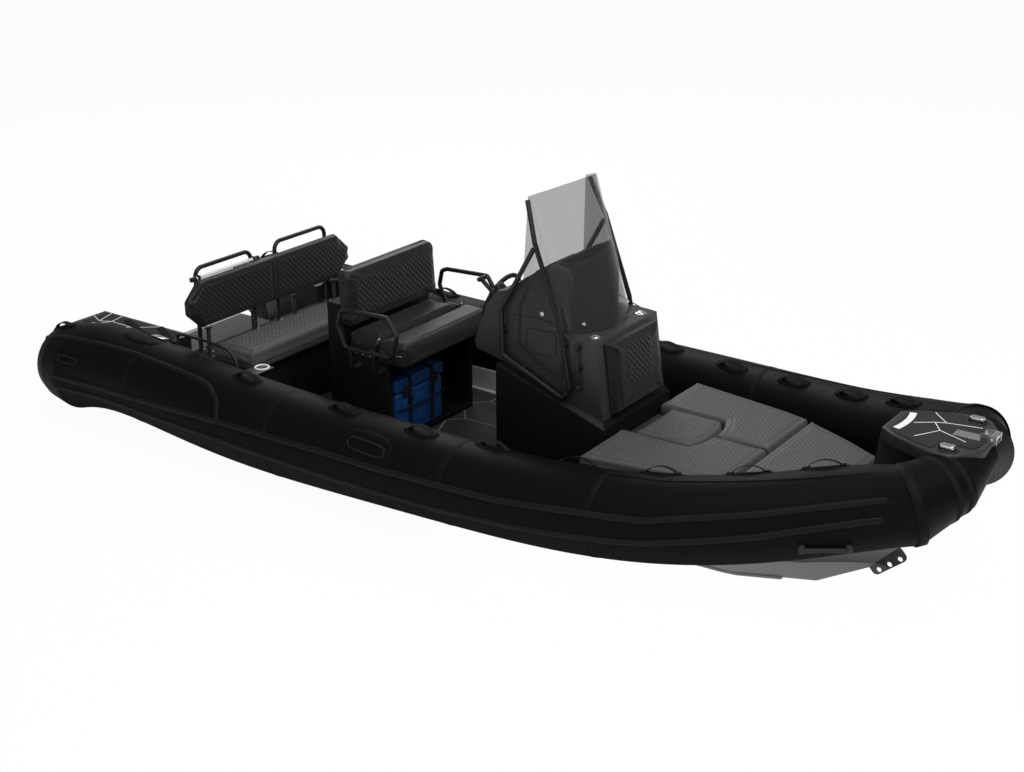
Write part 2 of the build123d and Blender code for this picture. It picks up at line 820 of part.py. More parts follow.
save(helm_backrest, "helm_backrest")

# Helm seat side rails: closed loops, on two stubs each to the box
seat_rail_gap = 64
seat_rail_bend = 26
# Columns: length share, share of the seat back's height
seat_rail_shares = (
    (0.3582, 0.988),
    (0.3653, 1.009),
    (0.4190, 1.024),
    (0.4308, 0.906),
    (0.4248, 0.763),
    (0.4205, 0.737),
    (0.3630, 0.731),
    (0.3545, 0.876),
)
seat_rail_foot_shares = (0.3700, 0.4000)
seat_rail_low_share = 0.733
seat_rail_foot_drop = 130
seat_rail_y = seat_box_half_width + seat_rail_gap + rail_radius
for side_name, side in sides:
    loop_points = [
        (at(a), side * seat_rail_y, sole_top + b * seat_back_height) for a, b in seat_rail_shares
    ]
    with BuildPart() as seat_rail:
        add(swept_tube(loop_points, rail_radius, seat_rail_bend, closed=True))
        foot_high = sole_top + seat_rail_low_share * seat_back_height
        for a in seat_rail_foot_shares:
            foot_points = [
                (at(a), side * seat_rail_y, foot_high),
                (at(a), side * seat_rail_y, foot_high - seat_rail_foot_drop),
                (at(a), side * (seat_box_half_width + seat_clearance), foot_high - seat_rail_foot_drop),
            ]
            add(swept_tube(foot_points, rail_radius, seat_rail_bend))
    save(seat_rail, f"seat_rail_{side_name}")

# Cool box strapped in the helm seat's bay
cool_box_back_gap = 55
cool_box_width = 475
cool_box_height = 385
cool_box_round = 30
cool_box_side_share = -0.28
cool_box_depth = seat_front - seat_aft - seat_back_depth - cool_box_back_gap
with BuildPart() as cool_box:
    with BuildSketch(Plane.XY.offset(sole_top + seat_wall + seat_clearance)):
        with Locations((seat_front - cool_box_depth / 2, cool_box_side_share * seat_box_half_width)):
            RectangleRounded(cool_box_depth, cool_box_width, cool_box_round)
    extrude(amount=cool_box_height)
save(cool_box, "cool_box")

# Aft bench: a base with a locker, and a lid that hinges at the front on knuckles
bench_side_gap = 60
bench_height = 415
bench_strip_depth = 160
bench_lid_thickness = 20
bench_nose = 40
bench_wall = 40
bench_locker_depth = 300
bench_knuckle_radius = 8
bench_knuckle_length = 60
bench_knuckle_share = 0.7
bench_half_width = cockpit_half_width - bench_side_gap
bench_aft = at(bench_aft_share)
bench_front = at(bench_front_share)
bench_top = deck_height + bench_height
bench_lid_bottom = bench_top - bench_lid_thickness + seat_clearance
bench_lid_aft = bench_aft + bench_strip_depth + running_gap
bench_lid_front = bench_front + bench_nose
bench_strip_front = bench_aft + bench_strip_depth
with BuildPart() as bench_base:
    with BuildSketch(Plane.XY.offset(deck_height)):
        with Locations(((bench_aft + bench_front) / 2, 0)):
            Rectangle(bench_front - bench_aft, 2 * bench_half_width)
    extrude(amount=bench_height)
    with BuildSketch(Plane.XY.offset(bench_top - bench_lid_thickness)):
        with Locations((bench_strip_front, 0)):
            Rectangle(bench_front, 2 * bench_half_width, align=(Align.MIN, Align.CENTER))
            Rectangle(
                bench_lid_front - bench_strip_front,
                4 * bench_half_width,
                align=(Align.MIN, Align.CENTER),
            )
    extrude(amount=bench_lid_thickness, mode=Mode.SUBTRACT)
    with BuildSketch(Plane.XY.offset(bench_top - bench_locker_depth)):
        with Locations(((bench_strip_front + bench_front) / 2, 0)):
            Rectangle(
                bench_front - bench_strip_front - 2 * bench_wall,
                2 * (bench_half_width - bench_wall),
            )
    extrude(amount=bench_locker_depth, mode=Mode.SUBTRACT)
    for cutter in tube_cutters:
        add(cutter, mode=Mode.SUBTRACT)
save(bench_base, "bench_base")

bench_cushion_thickness = 95
bench_pin_x = bench_front + bench_knuckle_radius + seat_clearance
bench_pin_z = bench_lid_bottom - bench_knuckle_radius
with BuildPart() as bench_lid:
    with BuildSketch(Plane.XY.offset(bench_lid_bottom)):
        with Locations(((bench_lid_aft + bench_lid_front) / 2, 0)):
            Rectangle(bench_lid_front - bench_lid_aft, 2 * (bench_half_width - running_gap))
    extrude(amount=bench_lid_thickness - seat_clearance)
    for side in (-1, 1):
        knuckle_y = side * bench_knuckle_share * bench_half_width
        with BuildSketch(Plane.XZ.offset(-knuckle_y)):
            with Locations((bench_pin_x, bench_pin_z)):
                Circle(bench_knuckle_radius)
                Rectangle(
                    2 * bench_knuckle_radius,
                    bench_knuckle_radius + bench_lid_thickness / 2,
                    align=(Align.CENTER, Align.MIN),
                )
        extrude(amount=bench_knuckle_length)
save(bench_lid, "bench_lid")
with BuildPart() as bench_cushion:
    with BuildSketch(Plane.XY.offset(bench_top + seat_clearance)):
        with Locations(((bench_lid_aft + cushion_gap + bench_lid_front) / 2, 0)):
            Rectangle(
                bench_lid_front - bench_lid_aft - cushion_gap,
                2 * (bench_half_width - running_gap),
            )
    extrude(amount=bench_cushion_thickness)
    fillet(bench_cushion.edges().group_by(Axis.Z)[-1], cushion_round)
save(bench_cushion, "bench_cushion")

# Bench backrest with cut corners, on four posts that stand on the strip behind the lid
bench_back_overhang = 50
bench_back_gap = 165
bench_back_height = 330
bench_back_chamfer = 120
bench_back_thickness = 60
bench_back_round = 12
bench_back_set = 130
bench_back_half_width = cockpit_half_width + bench_back_overhang
bench_back_low = bench_top + bench_back_gap
bench_back_x = bench_aft + bench_back_set
post_radius = 14
post_spread_shares = (-0.91, -0.30, 0.30, 0.91)
with BuildPart() as bench_backrest:
    with BuildSketch(Plane.YZ.offset(bench_back_x - bench_back_thickness)):
        with Locations((0, bench_back_low + bench_back_height / 2)):
            Rectangle(2 * bench_back_half_width, bench_back_height)
        chamfer(vertices(), bench_back_chamfer)
    extrude(amount=bench_back_thickness)
    fillet(bench_backrest.faces().sort_by(Axis.X)[-1].edges(), bench_back_round)
save(bench_backrest, "bench_backrest")

with BuildPart() as bench_posts:
    for spread_share in post_spread_shares:
        with BuildSketch(Plane.XY.offset(bench_top + seat_clearance)):
            with Locations((bench_back_x - bench_back_thickness / 2, spread_share * bench_half_width)):
                Circle(post_radius)
        extrude(amount=bench_back_gap - 2 * seat_clearance)
save(bench_posts, "bench_posts")

bench_rail_rise = 545
bench_rail_bend = 60
bench_rail_inner_share = 0.17
bench_rail_outer_share = 0.92
bench_rail_x = bench_aft + 2 * rail_radius
with BuildPart() as bench_rails:
    for side in (-1, 1):
        inner_y = side * bench_rail_inner_share * bench_half_width
        outer_y = side * bench_rail_outer_share * bench_half_width
        add(
            swept_tube(
                [
                    (bench_rail_x, inner_y, bench_top + seat_clearance),
                    (bench_rail_x, inner_y, bench_top + bench_rail_rise),
                    (bench_rail_x, outer_y, bench_top + bench_rail_rise),
                    (bench_rail_x, outer_y, bench_top + seat_clearance),
                ],
                rail_radius,
                bench_rail_bend,
            )
        )
save(bench_rails, "bench_rails")

# Stern steps beside the splash well, over the inboard shoulders of the tubes
stern_step_width = 290
stern_step_overhang = 55
stern_step_drop = 35
stern_step_thickness = 60
stern_step_top = tube_axis_height + tube_radius - stern_step_drop
stern_step_low = stern_step_top - stern_step_thickness
stern_step_foot = hull_rim_height + seat_clearance
stern_step_aft_share = 0.0183
stern_step_knee_share = 0.0640
stern_step_heel_share = 0.0755
stern_step_front_share = 0.1560
stern_step_outline = [
    (at(stern_step_aft_share), stern_step_top),
    (at(stern_step_aft_share), stern_step_low),
    (at(stern_step_knee_share), stern_step_low),
    (at(stern_step_heel_share), stern_step_foot),
    (at(stern_step_front_share), stern_step_foot),
    (at(stern_step_front_share), stern_step_top),
]
stern_step_inner = inner_half_width - stern_step_overhang
for side_name, side in sides:
    with BuildPart() as stern_step:
        with BuildSketch(Plane.XZ.offset(-side * stern_step_inner)):
            Polygon(*stern_step_outline, align=None)
        extrude(amount=-side * stern_step_width)
        for cutter in tube_cutters + [transom.part, hull.part]:
            add(cutter, mode=Mode.SUBTRACT)
    save(stern_step, f"stern_step_{side_name}")

# Cleats and roller on the bow step, and the towing eye on the stem
cleat_length = 72
cleat_width = 42
cleat_height = 34
cleat_round = 12
with BuildPart() as bow_cleats:
    for side in (-1, 1):
        with BuildSketch(Plane.XY.offset(step_top - cleat_recess_depth + seat_clearance)):
            with Locations((at(cleat_share), side * cleat_y)):
                RectangleRounded(cleat_length, cleat_width, cleat_round)
        extrude(amount=cleat_height)
    for cutter in tube_cutters:
        add(cutter, mode=Mode.SUBTRACT)
save(bow_cleats, "bow_cleats")

roller_plate_aft_share = 0.9617
roller_plate_front_share = 0.9930
roller_plate_width = 78
roller_plate_thickness = 6
roller_cheek_height = 46
roller_cheek_share = 0.9850
roller_cheek_front_share = 0.9985
roller_drum_radius = 19
roller_drum_share = 0.9945
with BuildPart() as bow_roller:
    with BuildSketch(Plane.XY.offset(step_top + seat_clearance)):
        with Locations(((at(roller_plate_aft_share) + at(roller_plate_front_share)) / 2, 0)):
            Rectangle(at(roller_plate_front_share) - at(roller_plate_aft_share), roller_plate_width)
    extrude(amount=roller_plate_thickness)
    for side in (-1, 1):
        cheek_y = side * (roller_plate_width / 2 - roller_plate_thickness)
        with BuildSketch(Plane.XZ.offset(-cheek_y)):
            with Locations((
                (at(roller_cheek_share) + at(roller_cheek_front_share)) / 2,
                step_top + seat_clearance + roller_cheek_height / 2,
            )):
                Rectangle(
                    at(roller_cheek_front_share) - at(roller_cheek_share), roller_cheek_height
                )
        extrude(amount=-side * roller_plate_thickness)
    with BuildSketch(Plane.XZ.offset(-roller_plate_width / 2 + roller_plate_thickness)):
        with Locations((
            at(roller_drum_share),
            step_top + roller_plate_thickness + roller_drum_radius,
        )):
            Circle(roller_drum_radius)
    extrude(amount=roller_plate_width - 2 * roller_plate_thickness)
save(bow_roller, "bow_roller")

eye_length = 226
eye_width = 84
eye_thickness = 10
eye_rake = 41
eye_hole_radius = 15
eye_share = 0.9150
eye_height_share = 0.09
eye_hole_shares = (-0.32, 0.0, 0.32)
with BuildPart() as bow_eye:
    with BuildSketch(Plane.XZ.offset(-eye_thickness / 2)):
        with Locations(Location((at(eye_share), eye_height_share * draught), eye_rake)):
            RectangleRounded(eye_length, eye_width, eye_width / 3)
            with Locations(*[(share * eye_length, -eye_width / 4) for share in eye_hole_shares]):
                Circle(eye_hole_radius, mode=Mode.SUBTRACT)
    extrude(amount=eye_thickness)
    add(hull.part, mode=Mode.SUBTRACT)
save(bow_eye, "bow_eye")
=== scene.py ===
import bpy, bmesh, math, random
from mathutils import Vector, Matrix
from mathutils.bvhtree import BVHTree


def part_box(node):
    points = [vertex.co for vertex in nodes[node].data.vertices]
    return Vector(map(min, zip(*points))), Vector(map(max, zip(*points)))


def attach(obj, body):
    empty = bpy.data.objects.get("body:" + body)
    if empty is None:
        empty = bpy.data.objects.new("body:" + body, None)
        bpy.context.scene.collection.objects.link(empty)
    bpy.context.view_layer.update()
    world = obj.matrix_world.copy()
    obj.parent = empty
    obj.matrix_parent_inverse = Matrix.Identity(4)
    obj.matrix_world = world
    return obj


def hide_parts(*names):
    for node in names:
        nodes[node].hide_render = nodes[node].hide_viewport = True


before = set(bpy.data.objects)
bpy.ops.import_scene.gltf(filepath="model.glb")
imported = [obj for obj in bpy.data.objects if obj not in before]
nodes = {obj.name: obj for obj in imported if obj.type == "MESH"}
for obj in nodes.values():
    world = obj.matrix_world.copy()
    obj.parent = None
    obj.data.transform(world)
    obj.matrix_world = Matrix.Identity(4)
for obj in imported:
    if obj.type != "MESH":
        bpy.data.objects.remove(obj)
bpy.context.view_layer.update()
random.seed(7)


def addObject(name, data):
    made = bpy.data.objects.new(name, data)
    bpy.context.scene.collection.objects.link(made)
    return made

# camera at the photograph's viewpoint
photoCamera = {
    "position": (5.0065, -6.9425, 3.8959), "yaw": 35.4793, "pitch": 21.8673, "roll": -0.3154,
    "focalPixels": 1520.92, "imageWidth": 1024, "imageHeight": 772, "sensor": 36.0, "farClip": 200,
}


def makeCamera(cfg):
    yaw, pitch, roll = (math.radians(cfg[k]) for k in ("yaw", "pitch", "roll"))
    forward = Vector((-math.sin(yaw) * math.cos(pitch), math.cos(yaw) * math.cos(pitch), -math.sin(pitch)))
    right = Vector((math.cos(yaw), math.sin(yaw), 0.0))
    up = right.cross(forward)
    rightRolled = math.cos(roll) * right + math.sin(roll) * up
    upRolled = -math.sin(roll) * right + math.cos(roll) * up
    data = bpy.data.cameras.new("photoCamera")
    data.sensor_width = cfg["sensor"]
    data.lens = cfg["focalPixels"] / cfg["imageWidth"] * cfg["sensor"]
    data.clip_end = cfg["farClip"]
    cam = addObject("photoCamera", data)
    basis = Matrix((rightRolled, upRolled, -forward)).transposed()
    cam.matrix_world = Matrix.Translation(cfg["position"]) @ basis.to_4x4()
    bpy.context.scene.camera = cam


makeCamera(photoCamera)
bpy.context.scene.view_settings.view_transform = "Standard"
print("camera ready")

# plain soft studio light
studio = {
    "skyStrength": 0.31,
    "keyEnergy": 740, "keySize": 7.0, "keyPlace": (4.5, -1.5, 8.5), "keyAim": (0.5, 0, 0.4),
    "rimEnergy": 340, "rimSize": 6.0, "rimPlace": (-5.5, 6.5, 6.0), "rimAim": (0, 0, 0.4),
    "fillEnergy": 105, "fillSize": 8.0, "fillPlace": (1.0, -9.0, 3.0), "fillAim": (0, 0, 0.4),
    "floorColour": (0.93, 0.93, 0.93), "floorSize": 40, "glowShare": 0.80, "seeThrough": 0.80,
    "clearNear": 0.97, "clearPlace": (1.9, 0.0), "clearSize": (1.9, 1.7), "clearFade": (0.85, 1.25),
}


def aimedAreaLight(name, place, target, energy, size):
    data = bpy.data.lights.new(name, "AREA")
    data.energy = energy
    data.shape = "DISK"
    data.size = size
    lamp = addObject(name, data)
    lamp.location = place
    lamp.rotation_euler = (Vector(target) - Vector(place)).to_track_quat("-Z", "Y").to_euler()


def addNode(tree, kind, operation=None, **values):
    node = tree.nodes.new("ShaderNode" + kind)
    if operation:
        node.operation = operation
    for label, value in values.items():
        node.inputs[label].default_value = value
    return node


def setOrLink(tree, socket, value):
    if isinstance(value, tuple):
        socket.default_value = (*value[:3], 1)
    elif isinstance(value, (int, float)):
        socket.default_value = value
    else:
        tree.links.new(value, socket)


def mathNode(tree, operation, *values):
    node = addNode(tree, "Math", operation)
    for socket, value in zip(node.inputs, values):
        setOrLink(tree, socket, value)
    return node.outputs[0]


def mixShaders(tree, factor, first, second):
    node = addNode(tree, "MixShader")
    for socket, value in zip(node.inputs, (factor, first, second)):
        setOrLink(tree, socket, value)
    return node.outputs[0]


def makeSky(strength):
    world = bpy.data.worlds.new("studioSky")
    bpy.context.scene.world = world
    world.use_nodes = True
    tree = world.node_tree
    tree.nodes.clear()
    path = addNode(tree, "LightPath")
    seen = mathNode(tree, "MAXIMUM", path.outputs["Is Camera Ray"], path.outputs["Is Transmission Ray"])
    sky = addNode(tree, "Background", Color=(1, 1, 1, 1), Strength=strength)
    white = addNode(tree, "Background", Color=(1, 1, 1, 1), Strength=1.0)
    mixed = mixShaders(tree, seen, sky.outputs[0], white.outputs[0])
    tree.links.new(mixed, addNode(tree, "OutputWorld").inputs[0])


def clearnessMap(tree, cfg):
    # clearest over the forefoot, which the photograph shows whole
    centred = addNode(tree, "Mapping")
    (x, y), (width, breadth) = cfg["clearPlace"], cfg["clearSize"]
    centred.inputs["Location"].default_value = (-x / width, -y / breadth, 0)
    centred.inputs["Scale"].default_value = (1 / width, 1 / breadth, 0)
    coords = addNode(tree, "TexCoord")
    tree.links.new(coords.outputs["Object"], centred.inputs["Vector"])
    reach = addNode(tree, "VectorMath", "LENGTH")
    tree.links.new(centred.outputs[0], reach.inputs[0])
    clearness = addNode(tree, "MapRange")
    clearness.interpolation_type = "SMOOTHSTEP"
    limits = (*cfg["clearFade"], cfg["clearNear"], cfg["seeThrough"])
    for label, limit in zip(("From Min", "From Max", "To Min", "To Max"), limits):
        clearness.inputs[label].default_value = limit
    tree.links.new(reach.outputs["Value"], clearness.inputs["Value"])
    return clearness.outputs["Result"]


def makeFloor(cfg):
    # the floor is the water's surface, and what lies under it shows through
    bm = bmesh.new()
    bmesh.ops.create_grid(bm, x_segments=1, y_segments=1, size=cfg["floorSize"])
    mesh = bpy.data.meshes.new("waterFloor")
    bm.to_mesh(mesh)
    bm.free()
    floor = addObject("waterFloor", mesh)
    mat = bpy.data.materials.new("paleFloor")
    mat.use_nodes = True
    tree = mat.node_tree
    tree.nodes.clear()
    fromCamera = addNode(tree, "LightPath").outputs["Is Camera Ray"]
    diffuse = addNode(tree, "BsdfDiffuse", Color=(*cfg["floorColour"], 1)).outputs[0]
    glow = addNode(tree, "Emission", Color=(1, 1, 1, 1), Strength=1.0).outputs[0]
    clear = addNode(tree, "BsdfTransparent").outputs[0]
    shade = mixShaders(tree, cfg["glowShare"], diffuse, glow)
    see = mathNode(tree, "MULTIPLY", fromCamera, clearnessMap(tree, cfg))
    top = mixShaders(tree, see, shade, clear)
    # only the camera sees the bright floor, so that it throws no light of its own
    plain = mixShaders(tree, fromCamera, diffuse, top)
    tree.links.new(plain, addNode(tree, "OutputMaterial").inputs[0])
    floor.data.materials.append(mat)


def makeStudio(cfg):
    for lamp in ("key", "rim", "fill"):
        place, aim, energy, size = (cfg[lamp + k] for k in ("Place", "Aim", "Energy", "Size"))
        aimedAreaLight(lamp + "Light", place, aim, energy, size)
    makeSky(cfg["skyStrength"])
    makeFloor(cfg)


makeStudio(studio)
print("studio ready")


# shader groups shared by several finishes
def newGroup(name, inputs, outputs):
    group = bpy.data.node_groups.new(name, "ShaderNodeTree")
    for label, kind, value in inputs:
        socket = group.interface.new_socket(label, in_out="INPUT", socket_type="NodeSocket" + kind)
        socket.default_value = value
    for label, kind in outputs:
        group.interface.new_socket(label, in_out="OUTPUT", socket_type="NodeSocket" + kind)
    return group, group.nodes.new("NodeGroupInput"), group.nodes.new("NodeGroupOutput")


def mixColour(tree, factor, a, b):
    # the colour sockets of this node come after the plain and vector ones
    node = addNode(tree, "Mix")
    node.data_type = "RGBA"
    for place, value in ((0, factor), (6, a), (7, b)):
        setOrLink(tree, node.inputs[place], value)
    return node.outputs[2]


def makeMottle():
    # slow change of colour and gloss over a large surface
    group, gin, gout = newGroup("mottle", [
        ("Colour", "Color", (0.1, 0.1, 0.1, 1)), ("Spread", "Float", 0.25), ("Scale", "Float", 3.0),
        ("Roughness", "Float", 0.5), ("Gloss change", "Float", 0.1),
    ], [("Colour", "Color"), ("Roughness", "Float")])
    coords = addNode(group, "TexCoord")
    noise = addNode(group, "TexNoise", Detail=6)
    group.links.new(coords.outputs["Object"], noise.inputs["Vector"])
    group.links.new(gin.outputs["Scale"], noise.inputs["Scale"])
    swing = mathNode(group, "SUBTRACT", noise.outputs["Fac"], 0.5)
    spread = mathNode(group, "MULTIPLY", swing, gin.outputs["Spread"])
    gain = mathNode(group, "MULTIPLY_ADD", spread, 2.0, 1.0)
    scaled = addNode(group, "VectorMath", "SCALE")
    group.links.new(gin.outputs["Colour"], scaled.inputs[0])
    group.links.new(gain, scaled.inputs["Scale"])
    group.links.new(scaled.outputs[0], gout.inputs["Colour"])
    gloss = mathNode(group, "MULTIPLY", swing, gin.outputs["Gloss change"])
    rough = mathNode(group, "MULTIPLY_ADD", gloss, 2.0, gin.outputs["Roughness"])
    group.links.new(rough, gout.inputs["Roughness"])
    return group


def makeGrain():
    # fine pebbled grain as a height
    group, gin, gout = newGroup("grain", [("Scale", "Float", 400.0), ("Softness", "Float", 0.5)],
                                [("Height", "Float")])
    coords = addNode(group, "TexCoord")
    cells = addNode(group, "TexVoronoi")
    cells.feature = "SMOOTH_F1"
    group.links.new(coords.outputs["Object"], cells.inputs["Vector"])
    group.links.new(gin.outputs["Scale"], cells.inputs["Scale"])
    group.links.new(gin.outputs["Softness"], cells.inputs["Smoothness"])
    noise = addNode(group, "TexNoise", Detail=3)
    group.links.new(coords.outputs["Object"], noise.inputs["Vector"])
    finer = mathNode(group, "MULTIPLY", gin.outputs["Scale"], 0.35)
    group.links.new(finer, noise.inputs["Scale"])
    total = mathNode(group, "ADD", cells.outputs["Distance"], noise.outputs["Fac"])
    group.links.new(total, gout.inputs["Height"])
    return group


def makeWear():
    # paler colour where edges are rubbed
    group, gin, gout = newGroup("edgeWear", [
        ("Colour", "Color", (0.1, 0.1, 0.1, 1)), ("Worn colour", "Color", (0.3, 0.3, 0.3, 1)),
        ("Amount", "Float", 0.3), ("Start", "Float", 0.52),
    ], [("Colour", "Color"), ("Mask", "Float")])
    geo = addNode(group, "NewGeometry")
    coords = addNode(group, "TexCoord")
    noise = addNode(group, "TexNoise", Scale=35, Detail=5)
    group.links.new(coords.outputs["Object"], noise.inputs["Vector"])
    raised = mathNode(group, "SUBTRACT", geo.outputs["Pointiness"], gin.outputs["Start"])
    steep = mathNode(group, "MULTIPLY", raised, 14.0)
    patchy = mathNode(group, "MULTIPLY", steep, noise.outputs["Fac"])
    scaled = mathNode(group, "MULTIPLY", patchy, gin.outputs["Amount"])
    clamp = addNode(group, "Clamp")
    group.links.new(scaled, clamp.inputs[0])
    mixed = mixColour(group, clamp.outputs[0], gin.outputs["Colour"], gin.outputs["Worn colour"])
    group.links.new(mixed, gout.inputs["Colour"])
    group.links.new(clamp.outputs[0], gout.inputs["Mask"])
    return group


def makeRoutedLines():
    # broad cells with a thin routed line between them, seen from above
    group, gin, gout = newGroup("routedLines", [
        ("Cell", "Float", 2.4), ("Width", "Float", 0.012), ("Stretch", "Float", 1.7),
    ], [("Line", "Float")])
    coords = addNode(group, "TexCoord")
    split = addNode(group, "SeparateXYZ")
    group.links.new(coords.outputs["Object"], split.inputs[0])
    join = addNode(group, "CombineXYZ")
    group.links.new(split.outputs[0], join.inputs[0])
    stretched = mathNode(group, "MULTIPLY", split.outputs[1], gin.outputs["Stretch"])
    group.links.new(stretched, join.inputs[1])
    cells = addNode(group, "TexVoronoi")
    cells.feature = "DISTANCE_TO_EDGE"
    cells.voronoi_dimensions = "2D"
    cells.inputs["Randomness"].default_value = 0.62
    group.links.new(join.outputs[0], cells.inputs["Vector"])
    group.links.new(gin.outputs["Cell"], cells.inputs["Scale"])
    line = mathNode(group, "LESS_THAN", cells.outputs["Distance"], gin.outputs["Width"])
    group.links.new(line, gout.inputs["Line"])
    return group


mottle, grain, edgeWear, routedLines = makeMottle(), makeGrain(), makeWear(), makeRoutedLines()


def useGroup(tree, group, **values):
    node = addNode(tree, "Group")
    node.node_tree = group
    for key, value in values.items():
        name = key[0].upper() + key[1:]
        name = {"WornColour": "Worn colour", "GlossChange": "Gloss change"}.get(name, name)
        node.inputs[name].default_value = (*value, 1) if isinstance(value, tuple) else value
    return node


def newMaterial(name):
    mat = bpy.data.materials.new(name)
    mat.use_nodes = True
    shader = mat.node_tree.nodes["Principled BSDF"]
    return mat, mat.node_tree, shader


def addBump(tree, shader, height, distance):
    bump = addNode(tree, "Bump", Distance=distance)
    tree.links.new(height, bump.inputs["Height"])
    tree.links.new(bump.outputs["Normal"], shader.inputs["Normal"])
    return bump


# finishes, each with its colour, gloss, grain and wear
finishColumns = ("specular", "colour", "spread", "scale", "roughness", "glossChange",
                 "grainScale", "grainDepth", "worn", "wear")
finishRows = {
    "tubeFabric": (0.055, (0.003, 0.003, 0.0031), 0.3, 1.6, 0.48, 0.1,
                   900.0, 0.00025, (0.018, 0.018, 0.018), 0.2),
    "tubePatch": (0.06, (0.0028, 0.0028, 0.0029), 0.3, 5.0, 0.58, 0.08,
                  700.0, 0.00030, (0.03, 0.03, 0.03), 0.3),
    "rubStrake": (0.09, (0.0065, 0.0065, 0.0067), 0.25, 4.0, 0.52, 0.1,
                  500.0, 0.00030, (0.03, 0.03, 0.03), 0.4),
    "hullPaint": (0.4, (0.31, 0.312, 0.316), 0.12, 2.5, 0.38, 0.08,
                  300.0, 0.00010, (0.5, 0.5, 0.5), 0.3),
    "moulding": (0.25, (0.025, 0.025, 0.0253), 0.18, 3.0, 0.42, 0.1,
                 650.0, 0.00012, (0.09, 0.09, 0.09), 0.35),
    "darkMoulding": (0.07, (0.004, 0.004, 0.0041), 0.2, 3.0, 0.5, 0.1,
                     650.0, 0.00012, (0.04, 0.04, 0.04), 0.3),
    "paleCushion": (0.22, (0.062, 0.062, 0.0635), 0.14, 6.0, 0.55, 0.08,
                    520.0, 0.00040, (0.16, 0.16, 0.16), 0.25),
    "darkCushion": (0.2, (0.0085, 0.0085, 0.0088), 0.16, 6.0, 0.47, 0.08,
                    520.0, 0.00040, (0.06, 0.06, 0.06), 0.25),
    "railCoat": (0.3, (0.007, 0.007, 0.0072), 0.2, 12.0, 0.38, 0.1,
                 900.0, 0.00012, (0.08, 0.08, 0.08), 0.4),
    "blackPlastic": (0.25, (0.006, 0.006, 0.0062), 0.2, 12.0, 0.45, 0.1,
                     800.0, 0.00020, (0.05, 0.05, 0.05), 0.4),
    "webbing": (0.08, (0.006, 0.006, 0.0062), 0.2, 30.0, 0.8, 0.05,
                1500.0, 0.00050, (0.03, 0.03, 0.03), 0.3),
    "boxPlastic": (0.25, (0.006, 0.045, 0.16), 0.1, 8.0, 0.42, 0.08,
                   600.0, 0.00020, (0.03, 0.12, 0.3), 0.25),
    "eyeCoat": (0.4, (0.022, 0.022, 0.023), 0.12, 20.0, 0.36, 0.08,
                600.0, 0.00010, (0.2, 0.2, 0.2), 0.4),
    "whiteFitting": (0.4, (0.72, 0.72, 0.72), 0.06, 12.0, 0.4, 0.05,
                     500.0, 0.00010, (0.8, 0.8, 0.8), 0.2),
}
finishes = {name: dict(zip(finishColumns, row)) for name, row in finishRows.items()}
materials = {}


def tonedMaterial(name, cfg):
    # a material whose colour and gloss vary slowly by the mottle group
    mat, tree, shader = newMaterial(name)
    tones = ("colour", "spread", "scale", "roughness", "glossChange")
    tone = useGroup(tree, mottle, **{k: cfg[k] for k in tones})
    tree.links.new(tone.outputs["Colour"], shader.inputs["Base Color"])
    tree.links.new(tone.outputs["Roughness"], shader.inputs["Roughness"])
    if "specular" in cfg:
        shader.inputs["Specular IOR Level"].default_value = cfg["specular"]
    materials[name] = mat
    return mat, tree, shader, tone.outputs["Colour"]


def makeFinish(name, cfg):
    _, tree, shader, colour = tonedMaterial(name, cfg)
    worn = useGroup(tree, edgeWear, wornColour=cfg["worn"], amount=cfg["wear"])
    tree.links.new(colour, worn.inputs["Colour"])
    tree.links.new(worn.outputs["Colour"], shader.inputs["Base Color"])
    pebbles = useGroup(tree, grain, scale=cfg["grainScale"])
    addBump(tree, shader, pebbles.outputs["Height"], cfg["grainDepth"])


for finishName, finishCfg in finishes.items():
    makeFinish(finishName, finishCfg)


# finishes that differ from the rest in more than their numbers
specialFinishes = {
    "deckFoam": {"colour": (0.012, 0.012, 0.0125), "spread": 0.2, "scale": 9.0, "roughness": 0.82,
                 "glossChange": 0.06, "lineColour": (0.15, 0.15, 0.15), "lineSink": -3.0, "grainScale": 260.0,
                 "grainDepth": 0.0006},
    "stepFoam": {"colour": (0.024, 0.024, 0.0245), "spread": 0.2, "scale": 14.0, "roughness": 0.85,
                 "glossChange": 0.05, "specular": 0.15, "grainScale": 300.0, "grainDepth": 0.0006},
    "polishedSteel": {"colour": (0.62, 0.63, 0.64), "spread": 0.05, "scale": 30.0, "roughness": 0.22,
                      "glossChange": 0.12, "metallic": 1.0},
    "screenPane": {"colour": (0.03, 0.03, 0.03), "spread": 0.03, "scale": 2.0, "roughness": 0.06,
                   "glossChange": 0.03, "alpha": 0.38, "refraction": 1.49},
    "screenGlass": {"colour": (0.004, 0.004, 0.005), "spread": 0.1, "scale": 20.0, "roughness": 0.10,
                    "glossChange": 0.04},
}


def makeDeckFoam(cfg):
    _, tree, shader, colour = tonedMaterial("deckFoam", cfg)
    lines = useGroup(tree, routedLines)
    shown = mixColour(tree, lines.outputs["Line"], colour, cfg["lineColour"])
    tree.links.new(shown, shader.inputs["Base Color"])
    pebbles = useGroup(tree, grain, scale=cfg["grainScale"])
    sunk = mathNode(tree, "MULTIPLY_ADD", lines.outputs["Line"], cfg["lineSink"], pebbles.outputs["Height"])
    addBump(tree, shader, sunk, cfg["grainDepth"])


def makeStepFoam(cfg):
    _, tree, shader, _ = tonedMaterial("stepFoam", cfg)
    pebbles = useGroup(tree, grain, scale=cfg["grainScale"])
    addBump(tree, shader, pebbles.outputs["Height"], cfg["grainDepth"])


def makeSteel(cfg):
    shader = tonedMaterial("polishedSteel", cfg)[2]
    shader.inputs["Metallic"].default_value = cfg["metallic"]


